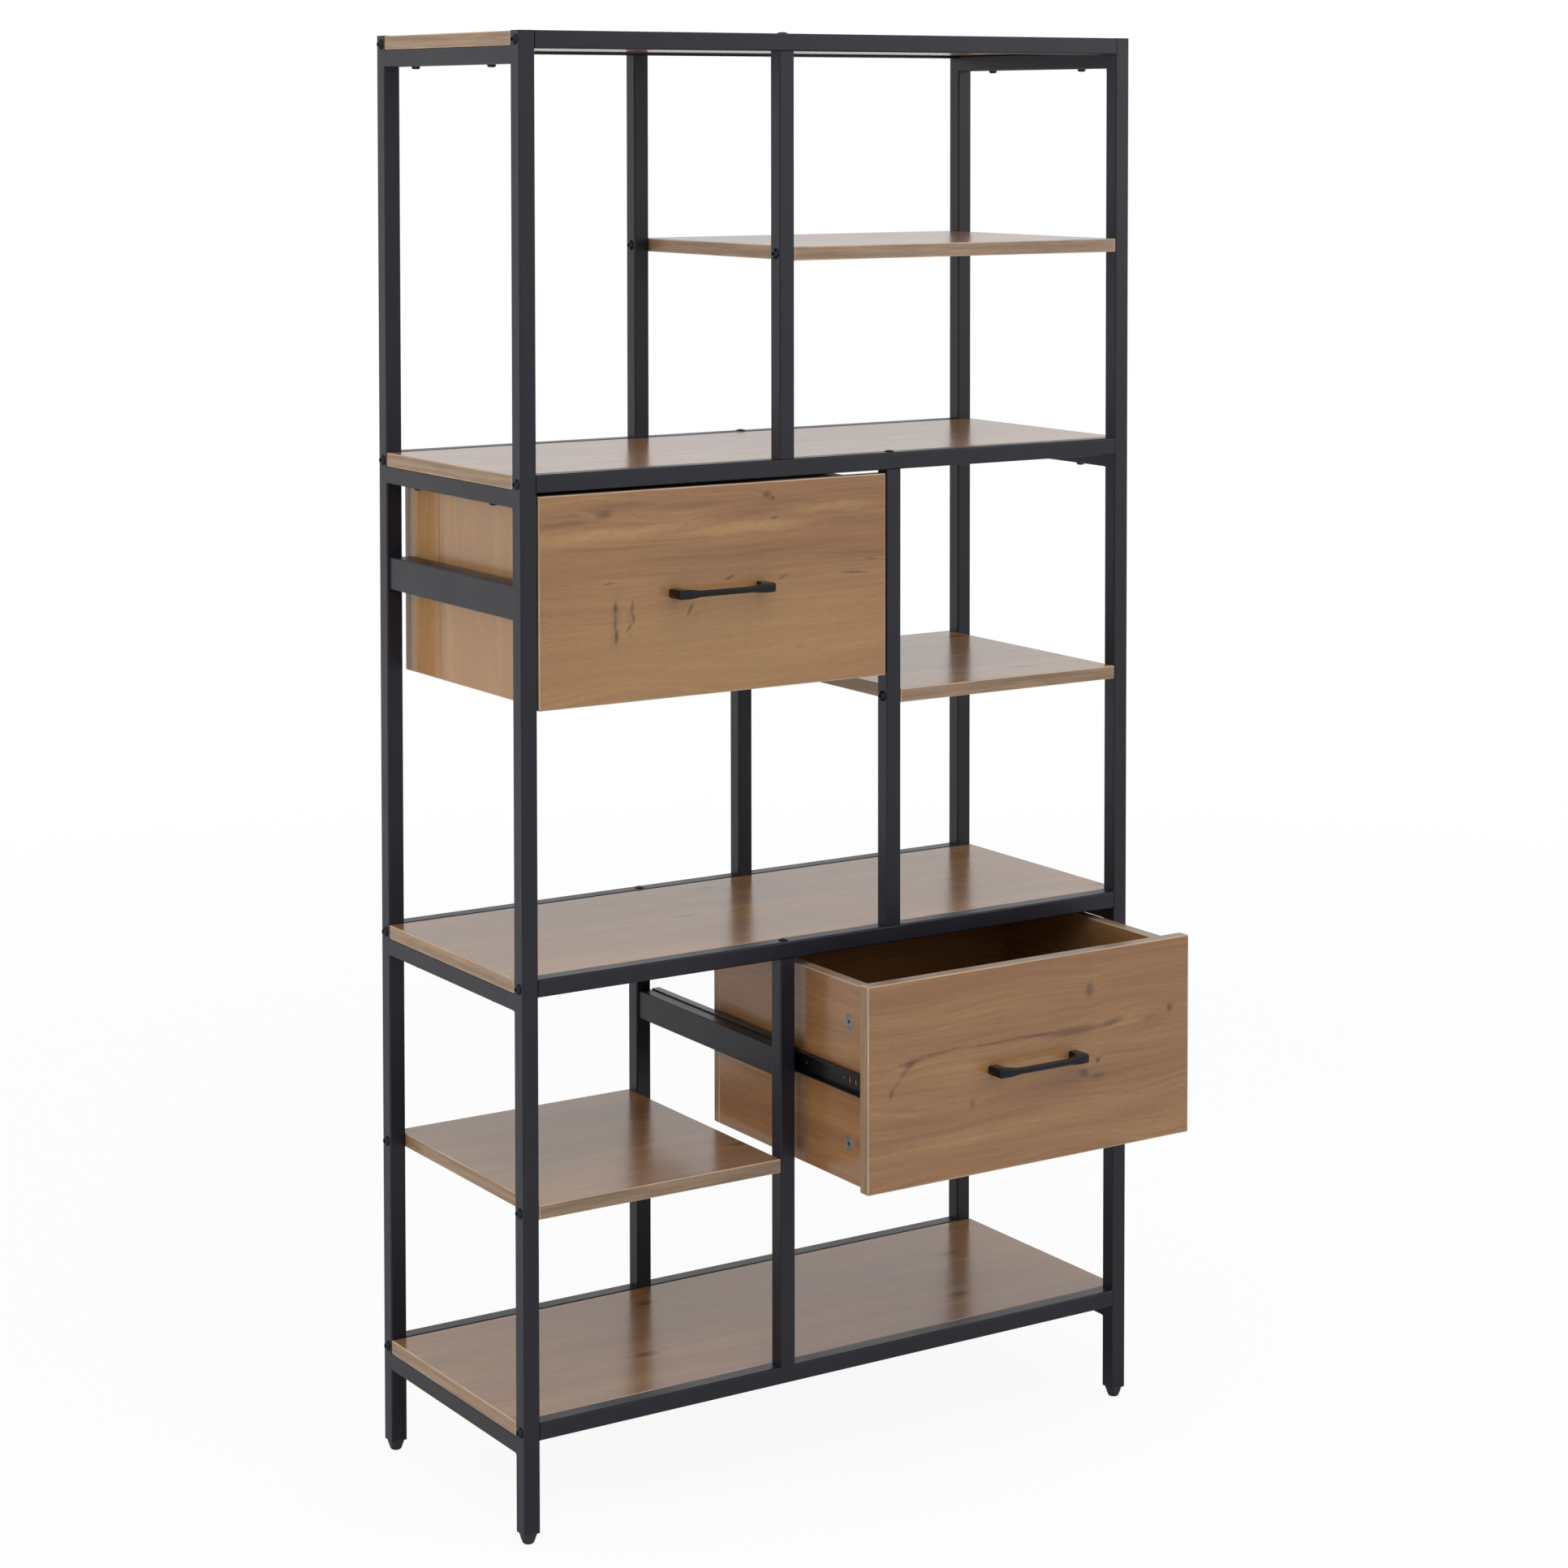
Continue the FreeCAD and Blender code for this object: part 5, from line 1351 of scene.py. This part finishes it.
def add_floor():
    """A pale round floor that fades into the white room behind it.

    The camera sees it almost white, with a faint shadow under the bookcase.
    """
    shape = bmesh.new()
    bmesh.ops.create_circle(shape, cap_ends=True, radius=FLOOR_RADIUS, segments=96)
    floor = set_down("floor", mesh_of("floor", shape))
    material = bpy.data.materials.new("studio_floor")
    tree = empty_tree(material)
    here = add(tree, "ShaderNodeTexCoord").outputs["Object"]
    far = add(tree, "ShaderNodeVectorMath", {0: here}, operation="LENGTH")
    fade = add(tree, "ShaderNodeMapRange", {
        "Value": far, "From Min": FLOOR_FADE[0], "From Max": FLOOR_FADE[1]},
        interpolation_type="SMOOTHSTEP")
    paint = add(tree, "ShaderNodeBsdfDiffuse", {"Color": linear("#F2F2F2")})
    white = add(tree, "ShaderNodeEmission", {"Color": linear("#FFFFFF"), "Strength": 1.0})
    camera_ray = add(tree, "ShaderNodeLightPath").outputs["Is Camera Ray"]
    seen = add(tree, "ShaderNodeMath", {0: camera_ray, 1: FLOOR_GLOW}, operation="MULTIPLY")
    lit = add(tree, "ShaderNodeMixShader", {0: seen, 1: paint, 2: white})
    clear = add(tree, "ShaderNodeBsdfTransparent")
    faded = add(tree, "ShaderNodeMixShader", {0: fade, 1: lit, 2: clear})
    add(tree, "ShaderNodeOutputMaterial", {"Surface": faded})
    floor.data.materials.append(material)


class BOOKCASE_OT_stage(bpy.types.Operator):
    """Sets the camera, the soft lamps, the white room and the floor."""
    bl_idname = "bookcase.stage"
    bl_label = "Set the stage"

    def execute(self, context):
        scene = context.scene
        add_camera(scene)
        add_world(scene)
        add_floor()
        for name, facts in LAMPS.items():
            add_lamp(name, *facts)
        scene.view_settings.view_transform = "Standard"
        return {"FINISHED"}


class BOOKCASE_PT_panel(bpy.types.Panel):
    """Lists the pieces and their settings."""
    bl_label = "Bookcase"
    bl_space_type = "VIEW_3D"
    bl_region_type = "UI"
    bl_category = "Bookcase"

    def draw(self, context):
        for operator in OPERATORS:
            self.layout.operator(operator.bl_idname)
        for name, group in SETTINGS:
            settings = getattr(context.scene, name)
            box = self.layout.box()
            for setting in group.__annotations__:
                box.prop(settings, setting)


SETTINGS = (
    ("bookcase_boards", BoardSettings),
    ("bookcase_bolts", BoltSettings),
    ("bookcase_screws", ScrewSettings),
    ("bookcase_slides", SlideSettings),
    ("bookcase_colours", ColourSettings),
)
OPERATORS = (
    BOOKCASE_OT_steel, BOOKCASE_OT_boards, BOOKCASE_OT_bolts, BOOKCASE_OT_screws,
    BOOKCASE_OT_cams, BOOKCASE_OT_pulls, BOOKCASE_OT_slides, BOOKCASE_OT_stage,
)


def register():
    """Makes the settings, the operators and the panel known to Blender."""
    for name, group in SETTINGS:
        bpy.utils.register_class(group)
        setattr(bpy.types.Scene, name, PointerProperty(type=group))
    for operator in OPERATORS:
        bpy.utils.register_class(operator)
    bpy.utils.register_class(BOOKCASE_PT_panel)


def unregister():
    """Takes the panel, the operators and the settings away again."""
    bpy.utils.unregister_class(BOOKCASE_PT_panel)
    for operator in reversed(OPERATORS):
        bpy.utils.unregister_class(operator)
    for name, group in reversed(SETTINGS):
        delattr(bpy.types.Scene, name)
        bpy.utils.unregister_class(group)


def main():
    """Dresses the bookcase."""
    register()
    bpy.ops.bookcase.steel()
    bpy.ops.bookcase.boards()
    bpy.ops.bookcase.bolts()
    bpy.ops.bookcase.screws()
    bpy.ops.bookcase.cams()
    bpy.ops.bookcase.pulls()
    bpy.ops.bookcase.slides()
    bpy.ops.bookcase.stage()


if __name__ == "__main__":
    main()
